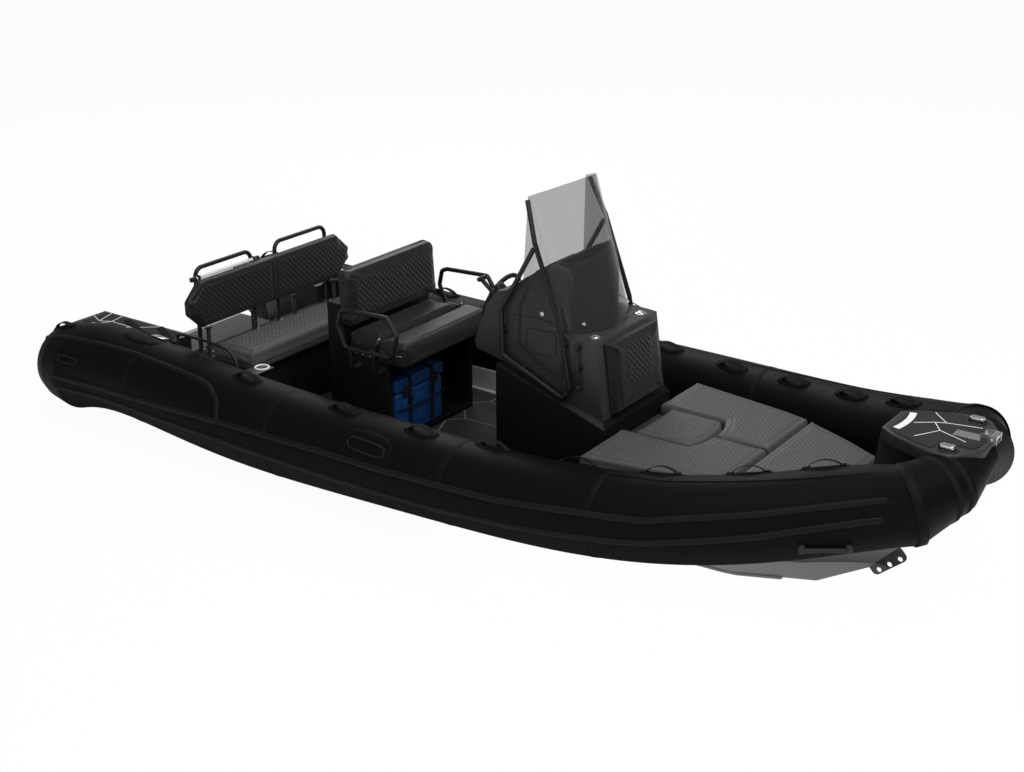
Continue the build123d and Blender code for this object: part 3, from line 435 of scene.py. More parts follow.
def makeScreen(cfg):
    mat, _, shader, _ = tonedMaterial("screenPane", cfg)
    shader.inputs["Alpha"].default_value = cfg["alpha"]
    shader.inputs["IOR"].default_value = cfg["refraction"]
    mat.surface_render_method = "BLENDED"


makeDeckFoam(specialFinishes["deckFoam"])
makeStepFoam(specialFinishes["stepFoam"])
makeSteel(specialFinishes["polishedSteel"])
makeScreen(specialFinishes["screenPane"])
tonedMaterial("screenGlass", specialFinishes["screenGlass"])
print("finishes ready")


# helpers for the pieces
def easeEdges(bm, edges, width, segments=2):
    return bmesh.ops.bevel(bm, geom=edges, offset=width, offset_type="OFFSET", affect="EDGES",
                           segments=segments, profile=0.5, material=-1, clamp_overlap=True)


def finishPiece(name, bm, material, body="boat", angle=35, replaces=()):
    bmesh.ops.recalc_face_normals(bm, faces=bm.faces)
    mesh = bpy.data.meshes.new(name)
    bm.to_mesh(mesh)
    bm.free()
    for poly in mesh.polygons:
        poly.use_smooth = True
    mesh.set_sharp_from_angle(angle=math.radians(angle))
    piece = addObject(name, mesh)
    mesh.materials.append(materials[material])
    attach(piece, body)
    if replaces:
        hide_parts(*replaces)


def copyNode(nodeName):
    # a merged copy of a CAD node's mesh
    bm = bmesh.new()
    bm.from_mesh(nodes[nodeName].data)
    bmesh.ops.remove_doubles(bm, verts=bm.verts, dist=0.00002)
    return bm


def softenNode(nodeName, material, width, flatAngle=2.0, minAngle=28):
    # the same solid with its sharp edges rounded
    bm = copyNode(nodeName)
    bmesh.ops.dissolve_limit(bm, angle_limit=math.radians(flatAngle), verts=bm.verts, edges=bm.edges)
    sharp = [e for e in bm.edges if len(e.link_faces) == 2 and e.calc_face_angle(0) > math.radians(minAngle)]
    easeEdges(bm, sharp, width)
    finishPiece(nodeName + "Soft", bm, material, replaces=(nodeName,))


def paint(nodeName, material):
    node = nodes[nodeName]
    node.data.materials.clear()
    node.data.materials.append(materials[material])
    for poly in node.data.polygons:
        poly.use_smooth = True
    node.data.set_sharp_from_angle(angle=math.radians(30))


def turnAndMove(bm, verts, centre, turn):
    if turn is not None:
        bmesh.ops.rotate(bm, cent=(0, 0, 0), matrix=turn, verts=verts)
    bmesh.ops.translate(bm, vec=centre, verts=verts)


def easedVerts(bm, verts, edges, width, segments=2):
    made = easeEdges(bm, edges, width, segments)
    return list({v for f in made["faces"] for v in f.verts} | {v for v in verts if v.is_valid})


def roundedBox(bm, centre, size, ease, segments=3, turn=None):
    verts = bmesh.ops.create_cube(bm, size=1.0)["verts"]
    bmesh.ops.scale(bm, vec=size, verts=verts)
    edges = list({e for v in verts for e in v.link_edges})
    verts = easedVerts(bm, verts, edges, ease, segments)
    turnAndMove(bm, verts, centre, turn)
    return verts


def rodAt(bm, start, end, radius, segments=20, ease=0.0):
    start, end = Vector(start), Vector(end)
    run = end - start
    verts = bmesh.ops.create_cone(bm, cap_ends=True, segments=segments, radius1=radius, radius2=radius,
                                  depth=run.length)["verts"]
    if ease:
        rims = [e for e in {e for v in verts for e in v.link_edges} if e.calc_face_angle(0) > 1.2]
        verts = easedVerts(bm, verts, rims, ease)
    turn = run.to_track_quat("Z", "Y").to_matrix().to_4x4()
    bmesh.ops.transform(bm, matrix=Matrix.Translation((start + end) / 2) @ turn, verts=verts)


def frameAt(origin, outward, onward):
    # X away from the surface, Z along the run
    x = Vector(outward).normalized()
    z = Vector(onward)
    z = (z - z.dot(x) * x).normalized()
    y = z.cross(x)
    return Matrix.Translation(Vector(origin)) @ Matrix((x, y, z)).transposed().to_4x4()


def sweepProfile(bm, profile, frames, closedRun=False, cap=True):
    # one ring is drawn, then extruded from frame to frame
    verts = [bm.verts.new(frames[0] @ Vector((p[0], p[1], 0))) for p in profile]
    edges = [bm.edges.new((verts[i], verts[(i + 1) % len(verts)])) for i in range(len(verts))]
    firstRing = list(edges)
    for before, after in zip(frames, frames[1:]):
        made = bmesh.ops.extrude_edge_only(bm, edges=edges)["geom"]
        ring = [g for g in made if isinstance(g, bmesh.types.BMVert)]
        edges = [g for g in made if isinstance(g, bmesh.types.BMEdge) and g.is_boundary
                 and all(v in ring for v in g.verts)]
        bmesh.ops.transform(bm, matrix=after @ before.inverted(), verts=ring)
    if closedRun:
        bmesh.ops.bridge_loops(bm, edges=firstRing + edges)
    elif cap:
        bmesh.ops.holes_fill(bm, edges=firstRing, sides=0)
        bmesh.ops.holes_fill(bm, edges=edges, sides=0)


def sweepPiece(name, profile, frames, material, angle=35, closedRun=False):
    bm = bmesh.new()
    sweepProfile(bm, profile, frames, closedRun)
    finishPiece(name, bm, material, angle=angle)


def runFrames(spots, lift=0.0, closedRun=False):
    # frames through (place, normal) pairs, each aimed from the spot before it to the one after
    frames = []
    for i, (place, normal) in enumerate(spots):
        if closedRun:
            ahead = spots[(i + 1) % len(spots)][0] - spots[i - 1][0]
        else:
            ahead = spots[min(i + 1, len(spots) - 1)][0] - spots[max(i - 1, 0)][0]
        frames.append(frameAt(place + normal * lift, normal, ahead))
    return frames


def circleFrames(centre, radius, count):
    # frames round a level circle
    x, y, z = centre
    turns = [2 * math.pi * i / count for i in range(count)]
    return [frameAt((x + radius * math.cos(a), y + radius * math.sin(a), z), (0, 0, 1),
                    (-math.sin(a), math.cos(a), 0)) for a in turns]


def flatProfile(width, thickness, sink=0.002):
    # thin strip with eased corners, lying on the surface
    w, t = width / 2, thickness
    return [(-sink, -w), (t * 0.5, -w), (t, -w + t * 0.7), (t, w - t * 0.7), (t * 0.5, w), (-sink, w)]


def domeProfile(width, height, steps=8, sink=0.003):
    points = [(-sink, -width / 2)]
    for i in range(steps + 1):
        a = math.pi * i / steps
        points.append((height * math.sin(a) ** 0.8, -math.cos(a) * width / 2))
    return points + [(-sink, width / 2)]


# where a ray from inside meets a CAD node
solids = {}


def solidTree(nodeName):
    if nodeName not in solids:
        bm = copyNode(nodeName)
        solids[nodeName] = BVHTree.FromBMesh(bm)
        bm.free()
    return solids[nodeName]


def hitNode(nodeName, start, direction):
    place, normal, _, _ = solidTree(nodeName).ray_cast(Vector(start), Vector(direction).normalized())
    return place, normal


# the side tubes' axes, as the source has them: station share, outer edge share, rise share, radius share
tubeRun = {
    "rows": ((0.001, 0.873, 0.00, 0.45), (0.004, 0.917, 0.00, 0.64), (0.011, 0.952, 0.00, 0.79),
             (0.025, 0.980, 0.00, 0.91), (0.050, 1.001, 0.00, 1.00), (0.250, 1.000, 0.00, 0.95),
             (0.500, 1.001, 0.00, 0.87), (0.633, 0.976, 0.04, 0.83), (0.767, 0.866, 0.15, 0.81),
             (0.850, 0.722, 0.33, 0.79), (0.955, 0.534, 0.68, 0.72)),
    "radius": 0.284, "halfBeam": 1.225, "axisHeight": 0.300, "rise": 0.460,
}


def tubeAxis(x, side):
    share = (x + 3.0) / 6.0
    rows = tubeRun["rows"]
    i = max(0, min(len(rows) - 2, sum(1 for r in rows if r[0] <= share) - 1))
    a, b = rows[i], rows[i + 1]
    t = (share - a[0]) / (b[0] - a[0])
    mixed = [p + (q - p) * t for p, q in zip(a, b)]
    radius = mixed[3] * tubeRun["radius"]
    return Vector((x, side * (mixed[1] * tubeRun["halfBeam"] - radius),
                   tubeRun["axisHeight"] + mixed[2] * tubeRun["rise"])), radius


sideNames = {-1: "starboard", 1: "port"}
bowStart = 2.5


def onTube(x, degrees, side):
    # surface point and outward normal, the angle counted up from outboard
    centre, radius = tubeAxis(x, side)
    a = math.radians(degrees)
    ray = Vector((0, side * math.cos(a), math.sin(a)))
    place, normal = hitNode("tube_" + sideNames[side], centre, ray)
    if place is None and x > bowStart:
        place, normal = hitNode("tube_bow", centre, ray)
    if place is None:
        place, normal = centre + ray * radius, ray
    if normal.dot(place - centre) < 0:
        normal = -normal
    return place, normal


def tubeFrames(stations, side):
    # frames along the tube for (x, degrees) pairs
    return runFrames([onTube(x, d, side) for x, d in stations])


def lerpTable(table, x):
    for (x0, v0), (x1, v1) in zip(table, table[1:]):
        if x <= x1:
            return v0 + (v1 - v0) * max(0.0, (x - x0) / (x1 - x0))
    return table[-1][1]


def stepsBetween(a, b, count):
    return [a + (b - a) * i / (count - 1) for i in range(count)]


def curveRod(name, points, radius, material):
    # a smooth round bar through control points
    data = bpy.data.curves.new(name, "CURVE")
    data.dimensions = "3D"
    data.bevel_depth = radius
    data.bevel_resolution = 4
    data.resolution_u = 6
    data.use_fill_caps = True
    spline = data.splines.new("NURBS")
    spline.points.add(len(points) - 1)
    for p, q in zip(spline.points, points):
        p.co = (*q, 1)
    spline.order_u = 3
    spline.use_endpoint_u = True
    temp = bpy.data.objects.new(name + "Line", data)
    mesh = bpy.data.meshes.new_from_object(temp)
    bpy.data.objects.remove(temp)
    for poly in mesh.polygons:
        poly.use_smooth = True
    piece = addObject(name, mesh)
    mesh.materials.append(materials[material])
    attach(piece, "boat")


# every CAD node that keeps its shape gets its finish
finishOfNode = {
    "tube_starboard": "tubeFabric", "tube_port": "tubeFabric", "tube_bow": "tubeFabric",
    "hull": "hullPaint", "transom": "hullPaint", "sole": "deckFoam",
    "bow_locker_lid": "moulding", "bow_eye": "eyeCoat",
    "bow_roller": "polishedSteel", "bolster_brackets": "polishedSteel", "bench_posts": "railCoat",
    "bench_rails": "railCoat", "console_rail_starboard": "railCoat", "console_rail_port": "railCoat",
    "seat_rail_starboard": "railCoat", "seat_rail_port": "railCoat", "steering_wheel": "blackPlastic",
    "windscreen": "screenPane", "bench_lid": "moulding",
}
for nodeName, finishName in finishOfNode.items():
    paint(nodeName, finishName)
softNodes = {
    "console_base": ("darkMoulding", 0.008), "console_body": ("moulding", 0.010),
    "helm_seat_box": ("darkMoulding", 0.006), "bench_base": ("darkMoulding", 0.006),
    "bow_step": ("moulding", 0.004), "stern_step_starboard": ("moulding", 0.010),
    "stern_step_port": ("moulding", 0.010), "bow_platform": ("moulding", 0.004),
    "bow_cleats": ("polishedSteel", 0.006),
}
for nodeName, (finishName, width) in softNodes.items():
    softenNode(nodeName, finishName, width)
print("nodes finished")


# dressing of the side tubes: strakes, seams, panels, pads and handles
tubeTrim = {
    "upper": ((-2.80, 2), (-2.0, 7), (-1.2, 13), (-0.35, 17), (0.6, 18), (1.48, 19), (2.0, 24), (2.64, 30),
              (2.86, 32)),
    "lower": ((-2.80, -13), (-1.24, -11), (-0.5, -14), (0.3, -16), (0.9, -13), (1.48, -10), (2.0, -4),
              (2.66, 1), (2.86, 3)),
    "crest": ((1.0, 84), (1.5, 82), (1.9, 79), (2.3, 78), (2.60, 80)),
    "crestWidth": 0.012, "crestHeight": 0.004,
    "panel": ((-2.93, 57), (-2.12, 66), (-1.50, 60), (-1.36, 53), (-1.26, 38), (-1.22, 15)),
    "panelWidth": 0.030, "panelHeight": 0.008,
    "ridgeWidth": 0.036, "ridgeHeight": 0.0125, "bandThickness": 0.0035, "steps": 64, "crestSteps": 30,
    "seams": (-2.05, -0.85, 0.42, 1.30), "seamWidth": 0.034, "seamThickness": 0.0016,
    "handles": ((-1.19, 88), (-0.41, 86), (0.15, 87), (0.60, 98), (1.09, 104), (1.54, 107), (1.96, 110),
                (2.31, 111)), "tailHandle": (-2.86, 84),
    "grip": {"start": (2.34, -26), "end": (2.54, -37), "width": 13},
    "liftPoint": {"start": (-0.23, 41), "end": (0.03, 38), "width": 17},
    "sternSlot": {"start": (-2.66, 30), "end": (-2.50, 31), "width": 9},
    "towPatch": {"centre": (-2.16, 98), "half": (0.17, 17), "thickness": 0.006, "crown": 0.004},
}


def drapeSheet(bm, toPlace, thickness, across, lengthwise, rim=0.18, rounded=False, crown=0.0):
    # a thin pad laid on the surface that toPlace(u, v) walks over, with its rim turned down
    made = bmesh.ops.create_grid(bm, x_segments=across, y_segments=lengthwise, size=1.0)
    for v in made["verts"]:
        u, w = v.co.x, v.co.y
        reach = max(abs(u), abs(w))
        if rounded:
            u, w = u * math.sqrt(1 - w * w / 2), w * math.sqrt(1 - u * u / 2)
        place, normal = toPlace(u, w)
        lift = min(1.0, (1.0 - reach) / rim)
        dome = crown * max(0.0, 1 - reach * reach)
        v.co = place + normal * (-0.002 + (thickness + 0.002) * math.sin(lift * math.pi / 2) + dome)
    return made["verts"]


def drapePiece(name, toPlace, thickness, across, along, material="tubePatch", slot="tube_fabric", **shape):
    bm = bmesh.new()
    drapeSheet(bm, toPlace, thickness, across, along, **shape)
    finishPiece(name, bm, material, angle=60)


def ridgeAlong(name, side, table, width, height, material, steps):
    stations = [(x, lerpTable(table, x)) for x in stepsBetween(table[0][0], table[-1][0], steps)]
    frames = tubeFrames(stations, side)
    for i, place in enumerate(frames):
        # both ends die away into the tube
        t = min(1.0, min(i, len(frames) - 1 - i) / 3)
        frames[i] = place @ Matrix.Diagonal((0.12 + 0.88 * t, 0.45 + 0.55 * t, 1, 1))
    sweepPiece(name, domeProfile(width, height), frames, material, angle=50)


def bandOnTube(name, side, cfg):
    first, last = cfg["upper"][0][0], cfg["upper"][-1][0]

    def toPlace(u, w):
        x = first + (last - first) * (u + 1) / 2
        low, high = lerpTable(cfg["lower"], x), lerpTable(cfg["upper"], x)
        return onTube(x, low + (high - low) * (w + 1) / 2, side)

    drapePiece(name, toPlace, cfg["bandThickness"], 130, 8, rim=0.012)


def seamRing(name, side, x, cfg, count=56):
    spots = [onTube(x, 360 * i / count, side) for i in range(count)]
    sweepPiece(name, flatProfile(cfg["seamWidth"], cfg["seamThickness"]), runFrames(spots, closedRun=True),
               "tubePatch", angle=50, closedRun=True)


def betweenPoints(side, cfg, stretch, spread):
    # u runs from start to end and w across, stretched and spread beyond them
    (x0, a0), (x1, a1) = cfg["start"], cfg["end"]

    def toPlace(u, w):
        t = (u * stretch + 1) / 2
        return onTube(x0 + (x1 - x0) * t, a0 + (a1 - a0) * t + cfg["width"] * spread * w, side)

    return toPlace


topHandleCfg = {"padHalf": (0.125, 12.5), "loopHalf": 0.085, "rise": 0.034, "stand": 0.006, "half": 0.017,
                "thick": 0.0035}


def topHandle(name, side, x, degrees, tag, cfg=topHandleCfg):
    # an oval pad, and a webbing loop that stands up from it
    def toPlace(u, w):
        return onTube(x + cfg["padHalf"][0] * u, degrees + cfg["padHalf"][1] * w, side)

    drapePiece(name + "Pad" + tag, toPlace, 0.005, 16, 10, rim=0.22, rounded=True, crown=0.002)
    reach, rise = cfg["loopHalf"], cfg["rise"]
    ends = [onTube(x - reach, degrees, side), onTube(x + reach, degrees, side)]
    run = (ends[1][0] - ends[0][0]).normalized()
    up = (ends[0][1] + ends[1][1]).normalized()
    middle = (ends[0][0] + ends[1][0]) / 2
    frames = []
    for i in range(19):
        t = -1 + 2 * i / 18
        lift = rise * math.cos(t * math.pi / 2) ** 0.7 if abs(t) < 1 else 0.0
        slope = math.atan2(rise * -math.sin(t * math.pi / 2) * math.pi / 2, reach)
        place = middle + run * (reach * t) + up * (lift + cfg["stand"])
        frames.append(frameAt(place, up * math.cos(slope) - run * math.sin(slope), run))
    bm = bmesh.new()
    half, thick = cfg["half"], cfg["thick"]
    sweepProfile(bm, [(-thick / 2, -half), (thick / 2, -half), (thick / 2 + 0.001, 0), (thick / 2, half),
                      (-thick / 2, half)], frames)
    for end, normal in ends:
        spin = frameAt(end, normal, run).to_3x3().to_4x4()
        roundedBox(bm, end + normal * 0.008, (0.006, 0.046, 0.034), 0.0025, 2, turn=spin)
    finishPiece(name + "Loop" + tag, bm, "webbing", angle=50)


gripCfg = {"lug": (0.032, 0.050, 0.036), "lugRise": 0.016, "lugEase": 0.009, "barRise": 0.026,
           "barRadius": 0.0115, "ribRadius": 0.0135, "ribHalf": 0.003, "ribs": 7}


def mouldedGrip(name, side, spots, tag, cfg=gripCfg):
    # a carrying handle: raised pad, two lugs and a round ribbed grip between them
    drapePiece(name + "Pad" + tag, betweenPoints(side, spots, 1.25, 1.0), 0.007, 20, 12, rim=0.22,
               rounded=True, crown=0.003)
    ends = [onTube(*spots["start"], side), onTube(*spots["end"], side)]
    run = (ends[1][0] - ends[0][0]).normalized()
    bm = bmesh.new()
    for end, normal in ends:
        spin = frameAt(end, normal, run).to_3x3().to_4x4()
        roundedBox(bm, end + normal * cfg["lugRise"], cfg["lug"], cfg["lugEase"], 3, turn=spin)
    lifted = [end + normal * cfg["barRise"] for end, normal in ends]
    rodAt(bm, lifted[0], lifted[1], cfg["barRadius"], 18)
    for i in range(cfg["ribs"]):
        spot = lifted[0].lerp(lifted[1], 0.2 + 0.1 * i)
        rodAt(bm, spot - run * cfg["ribHalf"], spot + run * cfg["ribHalf"], cfg["ribRadius"], 18, ease=0.001)
    finishPiece(name + "Grip" + tag, bm, "blackPlastic", angle=50)


def slotPatch(name, side, spots, tag, count=28):
    # a lifting point: oval doubler with a raised frame round a slot
    drapePiece(name + "Pad" + tag, betweenPoints(side, spots, 1.45, 1.5), 0.005, 20, 12, rim=0.2,
               rounded=True)
    onFrame = betweenPoints(side, spots, 1.0, 0.45)
    ring = []
    for i in range(count):
        a = 2 * math.pi * i / count
        ring.append(onFrame(math.copysign(abs(math.cos(a)) ** 0.5, math.cos(a)),
                            math.copysign(abs(math.sin(a)) ** 0.5, math.sin(a))))
    sweepPiece(name + "Rim" + tag, domeProfile(0.014, 0.009, 6), runFrames(ring, 0.004, closedRun=True),
               "rubStrake", angle=60, closedRun=True)


def patchOnTube(name, side, cfg):
    (x, degrees), (halfLength, halfAngle) = cfg["centre"], cfg["half"]

    def toPlace(u, w):
        return onTube(x + halfLength * u, degrees + halfAngle * w, side)

    drapePiece(name, toPlace, cfg["thickness"], 20, 12, rim=0.16, rounded=True, crown=cfg["crown"])


tailCapCfg = {"x": -2.994, "dome": 0.022, "domeShare": 0.80, "nub": (0.016, 0.036), "nubShare": 0.42,
              "ease": 0.006}


def tailCap(side, tag, cfg=tailCapCfg):
    # the moulded nub over the tube's closed end
    centre, radius = tubeAxis(cfg["x"], side)
    bm = bmesh.new()
    dome = bmesh.ops.create_uvsphere(bm, u_segments=36, v_segments=18, radius=1.0)["verts"]
    bmesh.ops.scale(bm, vec=(cfg["dome"], radius * cfg["domeShare"], radius * cfg["domeShare"]), verts=dome)
    bmesh.ops.translate(bm, vec=centre, verts=dome)
    near, far = (centre - Vector((reach, 0, 0)) for reach in cfg["nub"])
    rodAt(bm, near, far, radius * cfg["nubShare"], 28, ease=cfg["ease"])
    finishPiece("tailCap" + tag, bm, "rubStrake", angle=50)


def smoothedRun(table, cuts=8, passes=3):
    # the table's stations with more between them, their corners rounded
    stations = []
    for (x0, a0), (x1, a1) in zip(table, table[1:]):
        stations += [(x0 + (x1 - x0) * t / cuts, a0 + (a1 - a0) * t / cuts) for t in range(cuts)]
    stations.append(table[-1])
    for _ in range(passes):
        middle = [tuple((p + 2 * q + r) / 4 for p, q, r in zip(a, b, c))
                  for a, b, c in zip(stations, stations[1:], stations[2:])]
        stations = [stations[0]] + middle + [stations[-1]]
    return stations


def dressTubes(cfg):
    for side in (-1, 1):
        tag = sideNames[side].capitalize()
        bandOnTube("strakeBand" + tag, side, cfg)
        for edge in ("upper", "lower"):
            ridgeAlong("strakeRidge" + edge.capitalize() + tag, side, cfg[edge], cfg["ridgeWidth"],
                       cfg["ridgeHeight"], "rubStrake", cfg["steps"])
        ridgeAlong("crestBead" + tag, side, cfg["crest"], cfg["crestWidth"], cfg["crestHeight"], "tubePatch",
                   cfg["crestSteps"])
        # the raised panel's border turns down to the strake
        sweepPiece("panelBorder" + tag, domeProfile(cfg["panelWidth"], cfg["panelHeight"]),
                   tubeFrames(smoothedRun(cfg["panel"]), side), "rubStrake", angle=60)
        for i, x in enumerate(cfg["seams"]):
            seamRing("tubeSeam%s%d" % (tag, i), side, x, cfg)
        for i, (x, degrees) in enumerate(cfg["handles"]):
            topHandle("topHandle", side, x, degrees, tag + str(i))
        mouldedGrip("bowGrip", side, cfg["grip"], tag)
        slotPatch("liftPoint", side, cfg["liftPoint"], tag)
        slotPatch("sternSlot", side, cfg["sternSlot"], tag)
        patchOnTube("towPatch" + tag, side, cfg["towPatch"])
        topHandle("tailHandle", side, *cfg["tailHandle"], tag)
        tailCap(side, tag)
    print("tubes dressed")


dressTubes(tubeTrim)

# bow segment: corner seams and straps
bowRun = {
    "places": ((2.73, 0.450, 0.6128, 0.2045), (2.85, 0.2025, 0.6726, 0.1619), (2.916, 0.0, 0.7508, 0.0852),
               (2.85, -0.2025, 0.6726, 0.1619), (2.73, -0.450, 0.6128, 0.2045)),
    "strapShares": (0.62, 0.90), "strapWidth": 0.030, "strapThickness": 0.004,
    "seamWidth": 0.050, "seamThickness": 0.003, "sideStation": 2.10, "ringSteps": 48,
}


def bowAxis(t):
    # t runs from 0 at the port corner to 4 at the starboard one
    rows = bowRun["places"]
    i = min(3, int(t))
    a, b = Vector(rows[i][:3]), Vector(rows[i + 1][:3])
    return a.lerp(b, t - i), (b - a).normalized()


def bowRing(name, t, width, thickness, material, nodeNames=("tube_bow",), plane=None):
    centre, run = bowAxis(t)
    run = plane or run
    side = run.cross(Vector((0, 0, 1))).normalized()
    up = side.cross(run).normalized()
    spots = []
    for i in range(bowRun["ringSteps"]):
        a = 2 * math.pi * i / bowRun["ringSteps"]
        ray = side * math.cos(a) + up * math.sin(a)
        best = None
        for nodeName in nodeNames:
            place, _ = hitNode(nodeName, centre, ray)
            if place is not None and (best is None or (place - centre).length > (best - centre).length):
                best = place
        spots.append((best if best is not None else centre + ray * 0.1, ray))
    sweepPiece(name, flatProfile(width, thickness), runFrames(spots, closedRun=True), material,
               angle=50, closedRun=True)


def dressBow(cfg):
    for sign, t in ((1, 0.0), (-1, 4.0)):
        tag = "Port" if sign > 0 else "Starboard"
        corner = Vector(cfg["places"][0 if sign > 0 else 4][:3])
        sideRun = (corner - tubeAxis(cfg["sideStation"], sign)[0]).normalized()
        bowLine = bowAxis(0.0)[1] if sign > 0 else -bowAxis(4.0)[1]
        plane = (sideRun + bowLine).normalized()
        bowRing("cornerSeam" + tag, t, cfg["seamWidth"], cfg["seamThickness"], "tubePatch",
                ("tube_bow", "tube_" + sideNames[sign]), plane=plane)
        for i, share in enumerate(cfg["strapShares"]):
            spot = share if sign > 0 else 4 - share
            bowRing("bowStrap%s%d" % (tag, i), spot, cfg["strapWidth"], cfg["strapThickness"], "webbing")
    print("bow dressed")


dressBow(bowRun)


# quilted vinyl, with diamonds where the quilt attribute asks for them, and painted shade darkening the
# creases between them
def makeQuilt():
    group, gin, gout = newGroup("diamondQuilt", [("Pitch", "Float", 0.036), ("Sharpness", "Float", 0.6)],
                                [("Height", "Float"), ("CreaseShade", "Float")])
    place = addNode(group, "Attribute")
    place.attribute_name = "quiltPlace"
    split = addNode(group, "SeparateXYZ")
    group.links.new(place.outputs["Vector"], split.inputs[0])
    waves = []
    for operation in ("ADD", "SUBTRACT"):
        turned = mathNode(group, operation, split.outputs[0], split.outputs[1])
        cell = mathNode(group, "DIVIDE", turned, gin.outputs["Pitch"])
        turn = mathNode(group, "MULTIPLY", cell, math.pi)
        wave = mathNode(group, "ABSOLUTE", mathNode(group, "SINE", turn))
        waves.append(mathNode(group, "POWER", wave, gin.outputs["Sharpness"]))
    puff = mathNode(group, "MULTIPLY", waves[0], waves[1])
    group.links.new(mathNode(group, "MULTIPLY", puff, split.outputs[2]), gout.inputs["Height"])
    # the valleys between the diamonds are darkened: painted shade in the quilt's creases
    valley = mathNode(group, "SUBTRACT", 1.0, puff)
    creaseShadeMask = mathNode(group, "POWER", valley, 5.0)
    group.links.new(mathNode(group, "MULTIPLY", creaseShadeMask, split.outputs[2]), gout.inputs["CreaseShade"])
    return group


diamondQuilt = makeQuilt()
# each vinyl's crease colour is painted shade laid in the quilt's valleys
vinyls = {
    "paleQuilt": {"base": "paleCushion", "pitch": 0.034, "depth": 0.0035, "creaseShade": (0.030, 0.030, 0.031),
                  "sheen": 0.08, "sheenRoughness": 0.5},
    "darkQuilt": {"base": "darkCushion", "pitch": 0.040, "depth": 0.0040, "creaseShade": (0.006, 0.006, 0.006),
                  "sheen": 0.08, "sheenRoughness": 0.5},
}


def makeVinyl(name, cfg):
    base = finishes[cfg["base"]]
    _, tree, shader, colour = tonedMaterial(name, base)
    quilt = useGroup(tree, diamondQuilt, pitch=cfg["pitch"])
    # painted shade: the quilt's creases take the darker crease colour
    shown = mixColour(tree, quilt.outputs["CreaseShade"], colour, cfg["creaseShade"])
    tree.links.new(shown, shader.inputs["Base Color"])
    shader.inputs["Sheen Weight"].default_value = cfg["sheen"]
    shader.inputs["Sheen Roughness"].default_value = cfg["sheenRoughness"]
    pebbles = useGroup(tree, grain, scale=base["grainScale"])
    fine = addNode(tree, "Bump", Distance=base["grainDepth"])
    tree.links.new(pebbles.outputs["Height"], fine.inputs["Height"])
    bump = addBump(tree, shader, quilt.outputs["Height"], cfg["depth"])
    tree.links.new(fine.outputs["Normal"], bump.inputs["Normal"])


for vinylName, vinylCfg in vinyls.items():
    makeVinyl(vinylName, vinylCfg)


def insetOutline(points, distance):
    # move every side of a counter-clockwise outline inward
    out = []
    count = len(points)
    for i in range(count):
        a, b, c = (Vector(points[(i + k) % count]) for k in (-1, 0, 1))
        d1, d2 = (b - a).normalized(), (c - b).normalized()
        n1, n2 = Vector((-d1.y, d1.x)), Vector((-d2.y, d2.x))
        mid = n1 + n2
        out.append(tuple(b + mid * (distance / max(0.3, mid.dot(n1)))))
    return out


def signedArea(points):
    return sum(a[0] * b[1] - b[0] * a[1] for a, b in zip(points, points[1:] + points[:1])) / 2


def turnedLeft(points):
    return points if signedArea(points) > 0 else points[::-1]


def insideDistance(points, u, v):
    # distance to the outline, counted positive inside
    best, inside = 1e9, False
    for (x0, y0), (x1, y1) in zip(points, points[1:] + points[:1]):
        dx, dy = x1 - x0, y1 - y0
        t = max(0.0, min(1.0, ((u - x0) * dx + (v - y0) * dy) / (dx * dx + dy * dy)))
        best = min(best, math.hypot(u - x0 - t * dx, v - y0 - t * dy))
        if (y0 > v) != (y1 > v) and u < (x1 - x0) * (v - y0) / (y1 - y0) + x0:
            inside = not inside
    return best if inside else -best


def smoothStep(t):
    t = max(0.0, min(1.0, t))
    return t * t * (3 - 2 * t)


softCfg = {
    "pressure": 4.0, "frames": 20, "quality": 6, "mass": 0.3, "tension": 18, "shear": 8, "bending": 0.8,
    "restBand": 0.012, "zoneFade": 0.014, "castFrom": 1.2, "stitchPitch": 0.011, "stitchLength": 0.0065,
    "stitchRadius": 0.0011, "stitchLift": 0.0006, "seamWidth": 0.007, "seamDepth": 0.0028,
    "bumpDepth": 0.0024, "bumpPower": 0.6,
}


def evaluatedMesh(obj):
    deps = bpy.context.evaluated_depsgraph_get()
    return bpy.data.meshes.new_from_object(obj.evaluated_get(deps))


def blownMesh(name, bm, voxel, restTest, cap):
    # remesh, inflate with Cloth, cap the movement and subdivide once
    mesh = bpy.data.meshes.new(name + "Raw")
    bm.to_mesh(mesh)
    bm.free()
    temp = addObject(name + "Raw", mesh)
    remesh = temp.modifiers.new("voxels", "REMESH")
    remesh.mode = "VOXEL"
    remesh.voxel_size = voxel
    even = evaluatedMesh(temp)
    temp.modifiers.clear()
    temp.data = even
    before = [v.co.copy() for v in even.vertices]
    pin = temp.vertex_groups.new(name="rest")
    pin.add([i for i, co in enumerate(before) if restTest(co)], 1.0, "REPLACE")
    after = before
    cloth = temp.modifiers.new("inflate", "CLOTH")
    settings = cloth.settings
    settings.quality = softCfg["quality"]
    settings.mass = softCfg["mass"]
    settings.tension_stiffness = settings.compression_stiffness = softCfg["tension"]
    settings.shear_stiffness = softCfg["shear"]
    settings.bending_stiffness = softCfg["bending"]
    settings.use_pressure = True
    settings.uniform_pressure_force = softCfg["pressure"]
    settings.vertex_group_mass = "rest"
    settings.effector_weights.gravity = 0
    cloth.collision_settings.use_self_collision = False
    cloth.point_cache.frame_start = 1
    cloth.point_cache.frame_end = softCfg["frames"]
    for frameNumber in range(1, softCfg["frames"] + 1):
        bpy.context.scene.frame_set(frameNumber)
    blown = evaluatedMesh(temp)
    after = [v.co.copy() for v in blown.vertices]
    temp.modifiers.clear()
    bpy.context.scene.frame_set(1)
    for vert, a, b in zip(even.vertices, before, after):
        move = b - a
        if move.length > cap:
            move *= cap / move.length
        vert.co = a + move
    temp.vertex_groups.clear()
    subdivide = temp.modifiers.new("smooth", "SUBSURF")
    subdivide.levels = subdivide.render_levels = 1
    smooth = evaluatedMesh(temp)
    bpy.data.objects.remove(temp)
    return smooth


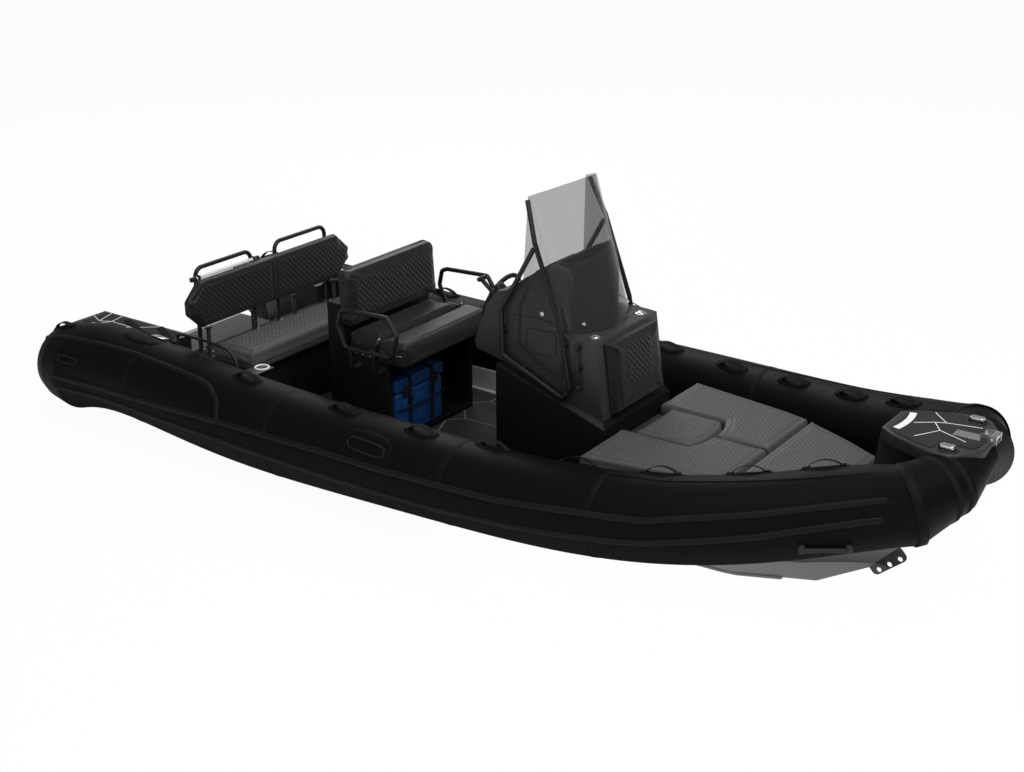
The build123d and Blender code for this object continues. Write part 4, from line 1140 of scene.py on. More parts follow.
def stitchLine(name, tree, toWorld, outline, normal, material, body):
    # short stitches that lie on the cushion along an outline
    bm = bmesh.new()
    pitch, length, radius = (softCfg[k] for k in ("stitchPitch", "stitchLength", "stitchRadius"))
    for (x0, y0), (x1, y1) in zip(outline, outline[1:] + outline[:1]):
        run = math.hypot(x1 - x0, y1 - y0)
        count = max(1, int(run / pitch))
        for i in range(count):
            ends = []
            for shift in (-0.5, 0.5):
                t = (i + 0.5) / count + shift * length / run
                above = toWorld(x0 + (x1 - x0) * t, y0 + (y1 - y0) * t) + normal * softCfg["castFrom"]
                hit = tree.ray_cast(above, -normal)[0]
                if hit is not None:
                    ends.append(hit + normal * softCfg["stitchLift"])
            if len(ends) == 2:
                rodAt(bm, ends[0], ends[1], radius, 6)
    finishPiece(name, bm, material, body, angle=60)


def makeCushion(nodeName, cfg, body="boat"):
    # the settings give the quilted face's origin and two axes, and its outline and zones in them
    bm = copyNode(nodeName)
    low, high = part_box(nodeName)
    centre = (low + high) / 2
    inset = cfg.get("inset", 0.006)
    normal = Vector(cfg["normal"]).normalized()
    axisU, axisV = Vector(cfg["axisU"]).normalized(), Vector(cfg["axisV"]).normalized()
    origin = Vector(cfg["origin"])
    bottom = min(v.co.dot(normal) for v in bm.verts)
    for v in bm.verts:
        for axis in (axisU, axisV, normal):
            reach = max(abs((low - centre).dot(axis)), abs((high - centre).dot(axis)))
            offset = (v.co - centre).dot(axis)
            v.co -= axis * (offset * inset / max(reach, 0.02))
    moved = min(v.co.dot(normal) for v in bm.verts)
    bmesh.ops.translate(bm, vec=normal * (bottom - moved), verts=bm.verts)
    mesh = blownMesh(nodeName + "Pad", bm, cfg.get("voxel", 0.011),
                     lambda co: co.dot(normal) < bottom + softCfg["restBand"], cfg.get("cap", 0.011))
    attribute = mesh.attributes.new("quiltPlace", "FLOAT_VECTOR", "POINT")
    zones = [turnedLeft([tuple(p) for p in zone]) for zone in cfg.get("zones", ())]
    seams = [turnedLeft([tuple(p) for p in seam]) for seam in cfg.get("seams", ())]
    turns = math.pi / vinyls[cfg["finish"]]["pitch"]
    normals = [v.normal.copy() for v in mesh.vertices]
    for vert, facing in zip(mesh.vertices, normals):
        flat = vert.co - origin
        u, v = flat.dot(axisU), flat.dot(axisV)
        mask = 0.0
        face = smoothStep((facing.dot(normal) - 0.3) / 0.4)
        if face > 0:
            for zone in zones:
                mask = max(mask, smoothStep(insideDistance(zone, u, v) / softCfg["zoneFade"]))
            mask *= face
            puff = abs(math.sin((u + v) * turns) * math.sin((u - v) * turns)) ** softCfg["bumpPower"]
            sink = 0.0
            for seam in seams:
                away = insideDistance(seam, u, v) / softCfg["seamWidth"]
                sink = max(sink, math.exp(-away * away))
            rise = mask * (puff - 0.5) * softCfg["bumpDepth"]
            vert.co += normal * (rise - face * sink * softCfg["seamDepth"])
        attribute.data[vert.index].vector = (u, v, mask)
    for poly in mesh.polygons:
        poly.use_smooth = True
    pad = addObject(nodeName + "Pad", mesh)
    mesh.materials.clear()
    mesh.materials.append(materials[cfg["finish"]])
    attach(pad, body)
    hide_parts(nodeName)
    bm = bmesh.new()
    bm.from_mesh(mesh)
    tree = BVHTree.FromBMesh(bm)
    bm.free()
    for i, seam in enumerate(seams):
        if cfg.get("stitched", True):
            stitchLine(nodeName + "Stitch" + str(i), tree, lambda a, b: origin + axisU * a + axisV * b, seam,
                       normal, cfg["thread"], body)
    print("cushion", nodeName)


def rectangle(u0, v0, u1, v1, corner=0.0):
    if not corner:
        return [(u0, v0), (u1, v0), (u1, v1), (u0, v1)]
    points = []
    for cu, cv, start in ((u1 - corner, v0 + corner, -90), (u1 - corner, v1 - corner, 0),
                          (u0 + corner, v1 - corner, 90), (u0 + corner, v0 + corner, 180)):
        for i in range(5):
            a = math.radians(start + 22.5 * i)
            points.append((cu + corner * math.cos(a), cv + corner * math.sin(a)))
    return points


# bow cushions lie flat, their outlines in X and Y
bowSeat = {
    "gap": 0.012, "lidHalf": 0.2062, "lidAft": 1.043, "lidFront": 1.375, "nose": 0.055, "aft": 0.960,
    "split": 1.770, "outer": 0.6576, "knee": (1.602, 0.5544), "frontHalf": 0.5112,
    "front": ((1.782, 0.504), (2.082, 0.3672), (2.298, 0.252)), "margin": 0.042, "lidMargin": 0.0336,
    "zoneGap": 0.008,
}


def noseCurve(front, half, nose, count=8):
    radius = (half * half + nose * nose) / (2 * nose)
    reach = math.asin(half / radius)
    return [(front + nose - radius + radius * math.cos(reach * (-1 + 2 * i / count)),
             radius * math.sin(reach * (-1 + 2 * i / count))) for i in range(count + 1)]


flatSeat = {"origin": (0, 0, 0), "axisU": (1, 0, 0), "axisV": (0, 1, 0), "normal": (0, 0, 1)}
paleSeat = {**flatSeat, "finish": "paleQuilt", "slot": "upholstery", "thread": "darkCushion"}
darkVinyl = {"finish": "darkQuilt", "slot": "upholstery_dark", "thread": "blackPlastic"}


def dressBowSeat(cfg):
    def flatCushion(nodeName, outline, margin):
        seam = insetOutline(turnedLeft(outline), margin)
        makeCushion(nodeName, {**paleSeat, "zones": [insetOutline(seam, cfg["zoneGap"])], "seams": [seam],
                               "inset": 0.002, "cap": 0.006})

    front, half = cfg["lidFront"] + cfg["gap"], cfg["lidHalf"] + cfg["gap"]
    for side in (-1, 1):
        curve = [p for p in noseCurve(front, half, cfg["nose"]) if p[1] * side > 0.02][::side]
        curve = curve if abs(curve[0][1]) > abs(curve[-1][1]) else curve[::-1]
        flatCushion("bow_cushion_" + sideNames[side], [(cfg["aft"], side * half)] + curve + [
            (front + cfg["nose"], side * cfg["gap"] / 2), (cfg["split"], side * cfg["gap"] / 2),
            (cfg["split"], side * cfg["frontHalf"]), (cfg["knee"][0], side * cfg["knee"][1]),
            (cfg["aft"], side * cfg["outer"])], cfg["margin"])
    outline = list(cfg["front"]) + [(x, -y) for x, y in reversed(cfg["front"])]
    flatCushion("bow_cushion_front", outline, cfg["margin"])
    nose = noseCurve(cfg["lidFront"], cfg["lidHalf"], cfg["nose"])
    outline = [(cfg["lidAft"], -cfg["lidHalf"])] + nose + [(cfg["lidAft"], cfg["lidHalf"])]
    flatCushion("locker_cushion", outline, cfg["lidMargin"])


dressBowSeat(bowSeat)

# helm seat: rear cushion, bolster and backrest
helmSeat = {
    "backOrigin": (-0.8999, 0, 0.772), "lean": math.radians(4), "backHeight": 0.374, "backHalf": 0.440,
    "panelMargin": 0.058, "seatSeam": (-0.862, -0.365, -0.665, 0.365),
    "bolsterSeam": (-0.590, -0.410, -0.445, 0.410), "corner": 0.02, "backCorner": 0.03,
}


def dressHelmSeat(cfg):
    m = cfg["panelMargin"]
    panel = rectangle(-cfg["backHalf"] + m, m, cfg["backHalf"] - m, cfg["backHeight"] - m, cfg["backCorner"])
    makeCushion("helm_backrest", {
        **darkVinyl, "origin": cfg["backOrigin"], "axisU": (0, 1, 0),
        "axisV": (-math.sin(cfg["lean"]), 0, math.cos(cfg["lean"])),
        "normal": (math.cos(cfg["lean"]), 0, math.sin(cfg["lean"])),
        "zones": [insetOutline(turnedLeft(panel), 0.010)], "seams": [panel], "voxel": 0.010, "cap": 0.012})
    flat = {**darkVinyl, **flatSeat, "cap": 0.012}
    makeCushion("helm_cushion", {**flat, "seams": [rectangle(*cfg["seatSeam"], cfg["corner"])]})
    makeCushion("helm_bolster", {**flat, "seams": [rectangle(*cfg["bolsterSeam"], cfg["corner"])]},
                body="helm_bolster")


dressHelmSeat(helmSeat)

# aft bench: seat and backrest with cut corners
benchSeat = {
    "backX": -1.868, "backLow": 0.630, "backHeight": 0.330, "backHalf": 0.770, "cut": 0.120,
    "backMargin": 0.040, "backSplit": 0.022, "seatSeam": (-1.775, -0.604, -1.505, 0.604), "corner": 0.02,
}


def dressBench(cfg):
    half, height, cut, m = cfg["backHalf"], cfg["backHeight"], cfg["cut"], cfg["backMargin"]
    # half of the back's panel, from its foot at the split round to its top
    panel = [(cfg["backSplit"], m), (half - cut - m * 0.4, m), (half - m, cut + m * 0.4),
             (half - m, height - cut - m * 0.4), (half - cut - m * 0.4, height - m),
             (cfg["backSplit"], height - m)]
    zones = [[(side * u, v) for u, v in panel] for side in (-1, 1)]
    makeCushion("bench_backrest", {
        **darkVinyl, "origin": (cfg["backX"], 0, cfg["backLow"]), "axisU": (0, 1, 0), "axisV": (0, 0, 1),
        "normal": (1, 0, 0), "zones": zones, "seams": zones, "voxel": 0.012, "cap": 0.010, "stitched": False})
    seam = rectangle(*cfg["seatSeam"], cfg["corner"])
    zone = insetOutline(turnedLeft(seam), 0.008)
    seat = {**paleSeat, "zones": [zone], "seams": [seam], "voxel": 0.012}
    makeCushion("bench_cushion", seat, body="bench_lid")


dressBench(benchSeat)

# forward seat on the console: half width, and shares of the face's height, of the quilted panel and the seam
consoleSeat = {"panel": (0.135, 0.30, 0.86), "seam": (0.225, 0.13, 0.92), "corner": 0.03}


def dressConsoleSeat(cfg):
    low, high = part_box("console_cushion")
    bm = copyNode("console_cushion")
    facing = Vector((0, 0, 0))
    for face in bm.faces:
        if face.normal.x > 0.8 and abs(face.normal.y) < 0.1:
            facing += face.normal * face.calc_area()
    bm.free()
    normal = facing.normalized()
    axisV = Vector((-normal.z, 0, normal.x))
    tall = (high.z - low.z) / max(axisV.z, 0.5)
    panel, border = (rectangle(-half, tall * foot, half, tall * top, cfg["corner"])
                     for half, foot, top in (cfg["panel"], cfg["seam"]))
    makeCushion("console_cushion", {
        **darkVinyl, "origin": Vector((low.x, 0, low.z)), "axisU": (0, 1, 0), "axisV": axisV,
        "normal": normal, "zones": [panel], "seams": [border], "voxel": 0.009, "cap": 0.010})


dressConsoleSeat(consoleSeat)


# places found by a pixel of the photograph, on the node that carries them
def pixelHit(nodeName, px, py):
    cfg = photoCamera
    cam = bpy.context.scene.camera
    turn = cam.matrix_world.to_3x3()
    ray = turn @ Vector((px - cfg["imageWidth"] / 2, cfg["imageHeight"] / 2 - py, -cfg["focalPixels"]))
    return hitNode(nodeName, cam.matrix_world.translation, ray)


def dropOn(nodeNames, x, y, top=2.0):
    # highest surface of the nodes under a point
    best = None
    for nodeName in nodeNames:
        place, normal = hitNode(nodeName, (x, y, top), (0, 0, -1))
        if place is not None and (best is None or place.z > best[0].z):
            best = (place, normal if normal.z > 0 else -normal)
    return best or (Vector((x, y, 0.5)), Vector((0, 0, 1)))


def padOutline(bm, points, z, thickness, ease=0.0015):
    # a flat pad cut to an outline
    verts = [bm.verts.new((x, y, z)) for x, y in points]
    edges = [bm.edges.new((a, b)) for a, b in zip(verts, verts[1:] + verts[:1])]
    face = bmesh.ops.holes_fill(bm, edges=edges, sides=0)["faces"]
    lifted = bmesh.ops.extrude_face_region(bm, geom=face)["geom"]
    up = [g for g in lifted if isinstance(g, bmesh.types.BMVert)]
    bmesh.ops.translate(bm, vec=(0, 0, thickness), verts=up)
    rim = [g for g in lifted if isinstance(g, bmesh.types.BMEdge)]
    easeEdges(bm, rim, ease)


def stripOn(bm, nodeNames, points, width, thickness, lift, stepsPerMetre=56):
    # a flat strip laid over whatever is under it
    for (x0, y0), (x1, y1) in zip(points, points[1:]):
        count = max(2, int(math.hypot(x1 - x0, y1 - y0) * stepsPerMetre))
        frames = []
        for i in range(count + 1):
            t = i / count
            place, normal = dropOn(nodeNames, x0 + (x1 - x0) * t, y0 + (y1 - y0) * t)
            frames.append(frameAt(place + normal * lift, normal, (x1 - x0, y1 - y0, 0)))
        sweepProfile(bm, flatProfile(width, thickness, 0.001), frames)


def flange(bm, centre, axis, radius, thickness, bolts=3):
    centre, axis = Vector(centre), Vector(axis).normalized()
    rodAt(bm, centre, centre + axis * thickness, radius, 28, ease=0.001)
    turn = axis.to_track_quat("Z", "Y").to_matrix()
    for i in range(bolts):
        a = 2 * math.pi * i / bolts + 0.5
        spot = centre + turn @ Vector((math.cos(a), math.sin(a), 0)) * radius * 0.74 + axis * thickness
        rodAt(bm, spot, spot + axis * 0.003, 0.0035, 8)


steelFittings = {
    "railFeet": ((0.2496, 0.976), (0.390, 0.775), (0.534, 0.7127), (0.666, 0.976)), "consoleHalf": 0.3352,
    "seatFeet": ((-0.780, 0.5608), (-0.600, 0.5608)), "seatHalf": 0.4203,
    "benchTop": 0.4652, "postX": -1.898, "postPlaces": (-0.598, -0.197, 0.197, 0.598), "postHeight": 0.1642,
    "railX": -1.970, "railPlaces": (-0.6044, -0.1117, 0.1117, 0.6044), "radius": 0.026, "smallRadius": 0.024,
    "thickness": 0.004,
}


def makeFlanges(cfg):
    bm = bmesh.new()
    wide, small, thick = cfg["radius"], cfg["smallRadius"], cfg["thickness"]
    for side in (-1, 1):
        for x, z in cfg["railFeet"]:
            flange(bm, (x, side * cfg["consoleHalf"], z), (0, side, 0), small, thick)
        for x, z in cfg["seatFeet"]:
            flange(bm, (x, side * cfg["seatHalf"], z), (0, side, 0), wide, thick)
    for y in cfg["postPlaces"]:
        flange(bm, (cfg["postX"], y, cfg["benchTop"]), (0, 0, 1), wide, thick)
        flange(bm, (cfg["postX"], y, cfg["benchTop"] + cfg["postHeight"]), (0, 0, -1), small, thick)
    for y in cfg["railPlaces"]:
        flange(bm, (cfg["railX"], y, cfg["benchTop"]), (0, 0, 1), wide, thick)
    finishPiece("railFlanges", bm, "railCoat")


makeFlanges(steelFittings)

# console: side seams, a black strip of painted shade beside the rail, panel gaskets, grab handles, filler
# caps, bolts, and the hood's brow and crown
console = {
    "half": 0.335,
    "seam": ((0.30, 1.078), (0.40, 1.088), (0.471, 1.092), (0.56, 1.075), (0.66, 1.040), (0.735, 1.018)),
    "recessShade": ((0.430, 1.300), (0.356, 1.130), (0.348, 0.910), (0.500, 0.822), (0.640, 0.755),
                (0.648, 0.990)),
    "access": (0.40, 0.875, 0.60, 1.02, 0.03),
    "grab": ((0.752, 1.000), (0.768, 0.720)), "grabStand": 0.030, "grabRadius": 0.010,
    "grabPosts": (0.08, 0.5, 0.92),
    "collarHalf": 0.012, "collarRadius": 0.0135, "postRadius": 0.008,
    "caps": (0.800, 0.245), "shelf": 1.0117, "capRadius": 0.034, "capRise": 0.006, "capGrip": 0.0145,
    "bolt": (0.505, 1.118), "boltRadius": 0.0085, "washerRadius": 0.012, "screenBolt": (584, 324),
    "brow": ((574.0, 276.0), (582.0, 274.5), (594.0, 268.5), (602.4, 262.4), (608.0, 253.0)),
    "crownCentre": 0.548, "crownHalf": (0.055, 0.215),
}


def seamOnSide(name, side, table, half, profile, closedRun=False):
    normal = Vector((0, side, 0))
    spots = [(Vector((x, side * half, z)), normal) for x, z in table]
    frames = runFrames(spots, closedRun=closedRun)
    sweepPiece(name, profile, frames, "blackPlastic", closedRun=closedRun)


def makeGrab(side, tag, cfg):
    bm = bmesh.new()
    (x0, z0), (x1, z1) = cfg["grab"]
    half, out = cfg["half"], side * (cfg["half"] + cfg["grabStand"])
    rodAt(bm, (x0, out, z0), (x1, out, z1), cfg["grabRadius"], 20, ease=0.003)
    reach = Vector((x0 - x1, 0, z0 - z1)).normalized() * cfg["collarHalf"]
    for t in cfg["grabPosts"]:
        x, z = x0 + (x1 - x0) * t, z0 + (z1 - z0) * t
        rodAt(bm, (x, side * (half + 0.0005), z), (x, out, z), cfg["postRadius"], 16)
        flange(bm, (x, side * (half + 0.0003), z), (0, side, 0), 0.018, 0.003, 2)
        post = Vector((x, out, z))
        rodAt(bm, post + reach, post - reach, cfg["collarRadius"], 20, ease=0.002)
    finishPiece("consoleGrab" + tag, bm, "railCoat")


def makeFillerCap(side, tag, cfg):
    bm = bmesh.new()
    base = Vector((cfg["caps"][0], side * cfg["caps"][1], cfg["shelf"]))
    rise = Vector((0, 0, cfg["capRise"]))
    rodAt(bm, base, base + rise, cfg["capRadius"], 36, ease=0.002)
    dome = bmesh.ops.create_uvsphere(bm, u_segments=28, v_segments=14, radius=cfg["capRadius"] * 0.8)["verts"]
    bmesh.ops.scale(bm, vec=(1, 1, 0.32), verts=dome)
    bmesh.ops.translate(bm, vec=base + rise, verts=dome)
    roundedBox(bm, base + Vector((0, 0, cfg["capGrip"])), (cfg["capRadius"] * 1.1, 0.007, 0.006), 0.002, 2)
    finishPiece("fillerCap" + tag, bm, "polishedSteel", angle=40)


def makeScreenBolts(side, tag, cfg):
    bm = bmesh.new()
    head = Vector((cfg["bolt"][0], side * cfg["half"], cfg["bolt"][1]))
    ball = bmesh.ops.create_uvsphere(bm, u_segments=18, v_segments=10, radius=cfg["boltRadius"])["verts"]
    bmesh.ops.scale(bm, vec=(1, 0.55, 1), verts=ball)
    bmesh.ops.translate(bm, vec=head, verts=ball)
    near, far = (head + Vector((0, side * out, 0)) for out in (-0.001, 0.0016))
    rodAt(bm, near, far, cfg["washerRadius"], 20)
    spot, normal = pixelHit("windscreen", *cfg["screenBolt"])
    if spot is not None:
        spot = Vector((spot.x, side * abs(spot.y), spot.z))
        outward = Vector((abs(normal.x), side * abs(normal.y), 0)).normalized()
        rodAt(bm, spot - outward * 0.001, spot + outward * 0.003, 0.011, 20, ease=0.001)
        rodAt(bm, spot + outward * 0.003, spot + outward * 0.006, 0.006, 6)
    finishPiece("screenBolts" + tag, bm, "polishedSteel", angle=40)


def makeBrow(cfg):
    # the hood's brow, on its front face from side to side
    spots = [pixelHit("console_body", px, py) for px, py in cfg["brow"]]
    spots = [(place, normal) for place, normal in spots if place is not None and place.y <= 0.02]
    spots += [(Vector((p.x, -p.y, p.z)), Vector((n.x, -n.y, n.z))) for p, n in reversed(spots) if p.y < -0.01]
    spots = [(place, normal if normal.dot((1, 0, 0.3)) > 0 else -normal) for place, normal in spots]
    if len(spots) > 3:
        frames = runFrames(spots)
        sweepPiece("hoodBrow", domeProfile(0.014, 0.004, 6), frames, "moulding", angle=60)


def dressConsole(cfg):
    for side in (-1, 1):
        tag = sideNames[side].capitalize()
        half = cfg["half"]
        seamOnSide("consoleSeam" + tag, side, cfg["seam"], half, flatProfile(0.006, 0.0015, 0.001))
        # a flat black strip along the rail's inner side: painted shade standing in for the dark recess
        seamOnSide("consoleRecessShade" + tag, side, cfg["recessShade"], half, flatProfile(0.020, 0.0022, 0.001))
        # an access panel outlined by its gasket
        seamOnSide("consolePanelGasket" + tag, side, rectangle(*cfg["access"]), half,
                   domeProfile(0.007, 0.002, 4, 0.001), closedRun=True)
        makeGrab(side, tag, cfg)
        makeFillerCap(side, tag, cfg)
        makeScreenBolts(side, tag, cfg)
    makeBrow(cfg)

    reach, half = cfg["crownHalf"]

    def onHood(u, w):
        return dropOn(("console_body",), cfg["crownCentre"] + reach * u, half * w)

    # oval pad moulded on the hood's crown
    drapePiece("hoodCrown", onHood, 0.006, 12, 36, "darkMoulding", "moulding", rim=0.2, rounded=True)


dressConsole(console)

# boxes are given as centre, size and eased edge, rods as both ends, radius and eased rim
dash = {
    "slopeLow": (0.263, 1.212), "slopeHigh": (0.460, 1.353), "display": (0.250, 0.155), "displayAt": 0.52,
    "buttons": (-0.045, 0.030, 4), "gaugeRun": (0.30, 0.78), "gaugeOut": 0.215, "gaugeRadius": 0.036,
    "glassRadius": 0.029, "needle": ((0.007, 0.007, 0.0125), (0.026, 0.0016, 0.0015), 0.0004),
    "faceLow": (0.036, 0.8656), "faceHigh": (0.120, 1.1002), "topAft": (0.194, 1.193),
    "panelAt": (0.5, 0.262), "panel": ((0, 0, 0.002), (0.092, 0.176, 0.006), 0.002),
    "switches": [((-0.022 + 0.044 * i, -0.052 + 0.052 * j, 0.008), (0.024, 0.036, 0.010), 0.003)
                 for j in range(3) for i in range(2)],
    "leverAt": (0.55, -0.255), "leverBase": ((0, 0, 0.022), (0.070, 0.095, 0.048), 0.010),
    "leverAxle": ((-0.052, 0, 0.026), (0.036, 0, 0.026), 0.021, 28, 0.003),
    "leverArm": ((-0.046, 0.002, 0.075), (0.014, 0.026, 0.105), 0.004),
    "leverGrip": ((-0.072, 0.002, 0.130), (-0.002, 0.002, 0.130), 0.014, 24, 0.006),
    "keyAt": (0.80, -0.262), "keyRods": (((0, 0, 0), (0, 0, 0.007), 0.016, 28, 0.002),
                                         ((0, 0, 0.007), (0, 0, 0.016), 0.009, 20, 0.002)),
}


def dashFrame(low, high, t, y):
    # X across to port, Y up the slope, Z out of it
    up = Vector((high[0] - low[0], 0, high[1] - low[1])).normalized()
    out = Vector((-up.z, 0, up.x))
    place = Vector((low[0] + (high[0] - low[0]) * t, y, low[1] + (high[1] - low[1]) * t))
    return Matrix.Translation(place) @ Matrix((Vector((0, 1, 0)), up, out)).transposed().to_4x4()


def placedBox(bm, frame4, centre, size, ease, segments=2):
    verts = roundedBox(bm, centre, size, ease, segments)
    bmesh.ops.transform(bm, matrix=frame4, verts=verts)


def placedRod(bm, frame4, start, end, radius, segments=24, ease=0.0):
    rodAt(bm, frame4 @ Vector(start), frame4 @ Vector(end), radius, segments, ease)


def dressDash(cfg):
    slope = dashFrame(cfg["slopeLow"], cfg["slopeHigh"], cfg["displayAt"], 0.0)
    width, height = cfg["display"]
    bm = bmesh.new()
    placedBox(bm, slope, (0, 0, 0.007), (width, height, 0.016), 0.006, 3)
    first, pitch, count = cfg["buttons"]
    for i in range(count):
        placedBox(bm, slope, (width / 2 - 0.010, first + pitch * i, 0.0155), (0.009, 0.014, 0.004), 0.0015)
    finishPiece("displayFrame", bm, "blackPlastic")
    bm = bmesh.new()
    placedBox(bm, slope, (-0.008, 0, 0.0146), (width - 0.040, height - 0.022, 0.003), 0.0012)
    finishPiece("displayGlass", bm, "screenGlass")
    bm, glass = bmesh.new(), bmesh.new()
    for y in (-cfg["gaugeOut"], cfg["gaugeOut"]):
        for t in cfg["gaugeRun"]:
            spot = dashFrame(cfg["slopeLow"], cfg["slopeHigh"], t, y)
            placedRod(bm, spot, (0, 0, 0.0), (0, 0, 0.010), cfg["gaugeRadius"], 36, 0.003)
            placedRod(glass, spot, (0, 0, 0.008), (0, 0, 0.0112), cfg["glassRadius"], 36, 0.001)
            placedBox(bm, spot, *cfg["needle"])
    finishPiece("gaugeRims", bm, "blackPlastic")
    finishPiece("gaugeGlass", glass, "screenGlass")
    bm = bmesh.new()
    face = dashFrame(cfg["faceLow"], cfg["faceHigh"], *cfg["panelAt"])
    for box in [cfg["panel"]] + cfg["switches"]:
        placedBox(bm, face, *box)
    finishPiece("switchPanel", bm, "blackPlastic")
    # throttle on the starboard side, with a plain lever
    bm = bmesh.new()
    lever = dashFrame(cfg["faceHigh"], cfg["topAft"], *cfg["leverAt"])
    placedBox(bm, lever, *cfg["leverBase"], 3)
    placedRod(bm, lever, *cfg["leverAxle"])
    placedBox(bm, lever, *cfg["leverArm"])
    placedRod(bm, lever, *cfg["leverGrip"])
    finishPiece("throttle", bm, "blackPlastic")
    bm = bmesh.new()
    for rod in cfg["keyRods"]:
        placedRod(bm, dashFrame(cfg["faceLow"], cfg["faceHigh"], *cfg["keyAt"]), *rod)
    finishPiece("keySwitch", bm, "polishedSteel")


dressDash(dash)

# steering wheel, built about its axis
wheel = {"centre": (-0.01144, 0, 1.01492), "axis": (-0.941466, 0, 0.337097), "radius": 0.175, "rim": 0.014,
         "hub": 0.045, "stand": 0.095, "turns": (90, 210, 330), "spokeStart": 0.030, "spokeDip": 0.026,
         "spokeHalf": (0.003, 0.017), "gripNotches": 24, "notchDepth": 0.0018}


def makeWheel(cfg):
    out = Vector(cfg["axis"]).normalized()
    across = Vector((0, 1, 0))
    up = out.cross(across)
    base = Matrix.Translation(cfg["centre"]) @ Matrix((across, up, out)).transposed().to_4x4()
    bm = bmesh.new()
    ring = cfg["radius"] - cfg["rim"]
    circle = bmesh.ops.create_circle(bm, segments=18, radius=cfg["rim"])
    bmesh.ops.rotate(bm, cent=(0, 0, 0), matrix=Matrix.Rotation(math.pi / 2, 3, "X"), verts=circle["verts"])
    bmesh.ops.translate(bm, vec=(ring, 0, 0), verts=circle["verts"])
    edges = list({e for v in circle["verts"] for e in v.link_edges})
    bmesh.ops.spin(bm, geom=circle["verts"] + edges, cent=(0, 0, 0), axis=(0, 0, 1), angle=2 * math.pi,
                   steps=96, use_merge=True)
    bmesh.ops.remove_doubles(bm, verts=bm.verts, dist=0.0005)
    for v in bm.verts:
        a = math.atan2(v.co.y, v.co.x)
        if v.co.z < 0.004:
            v.co.z -= cfg["notchDepth"] * max(0.0, math.cos(a * cfg["gripNotches"]))
    bmesh.ops.transform(bm, matrix=base, verts=bm.verts)
    finishPiece("wheelRim", bm, "darkCushion", "steering_wheel", angle=60,
                replaces=("steering_wheel",))
    bm = bmesh.new()
    start, (thin, half) = cfg["spokeStart"], cfg["spokeHalf"]
    for turn in cfg["turns"]:
        spin = base @ Matrix.Rotation(math.radians(turn), 4, "Z")
        frames = []
        for t in stepsBetween(0, 1, 9):
            place = Matrix.Translation((start + (ring - start) * t, 0, -cfg["spokeDip"] * (1 - t) ** 1.5))
            frames.append(spin @ place @ Matrix.Rotation(math.pi / 2, 4, "Y"))
        sweepProfile(bm, [(-thin, -half), (thin, -half), (thin, half), (-thin, half)], frames)
    finishPiece("wheelSpokes", bm, "polishedSteel", "steering_wheel")
    bm = bmesh.new()
    placedRod(bm, base, (0, 0, -0.040), (0, 0, 0.004), cfg["hub"], 40, 0.006)
    dome = bmesh.ops.create_uvsphere(bm, u_segments=32, v_segments=16, radius=cfg["hub"] * 0.86)["verts"]
    bmesh.ops.scale(bm, vec=(1, 1, 0.28), verts=dome)
    bmesh.ops.translate(bm, vec=(0, 0, 0.003), verts=dome)
    bmesh.ops.transform(bm, matrix=base, verts=dome)
    placedRod(bm, base, (0, 0, -cfg["stand"] + 0.001), (0, 0, -0.038), 0.022, 28, 0.002)
    placedRod(bm, base, (0, 0, -cfg["stand"] + 0.001), (0, 0, -cfg["stand"] + 0.016), 0.034, 32, 0.004)
    finishPiece("wheelHub", bm, "blackPlastic", "steering_wheel", angle=40)


makeWheel(wheel)
print("console dressed")

# cool box with a lid, latches and straps
coolBox = {
    "low": (-0.8452, -0.3551, 0.0863), "high": (-0.5550, 0.1199, 0.4713), "lid": 0.085, "shrink": 0.016,
    "ribs": (-0.1265, 0.0, 0.1265), "latches": (-0.150, 0.150),
    "straps": (-0.225, -0.010), "strapHalf": 0.013, "strapThickness": 0.0028, "buckle": (-0.5475, 0.330),
    "strapPath": ((-0.835, 0.40), (-0.838, 0.462), (-0.825, 0.4745), (-0.70, 0.4755), (-0.575, 0.4745),
                  (-0.5535, 0.465), (-0.5505, 0.44), (-0.5505, 0.25), (-0.5510, 0.092)),
    "band": {"x": -0.5470, "y": -0.362, "length": 0.490, "z": 0.285, "sag": 0.012, "bow": 0.003,
             "half": 0.006, "thickness": 0.0025},
}


def flatBand(bm, frames, half, thickness):
    sweepProfile(bm, [(0, -half), (thickness, -half), (thickness, half), (0, half)], frames)


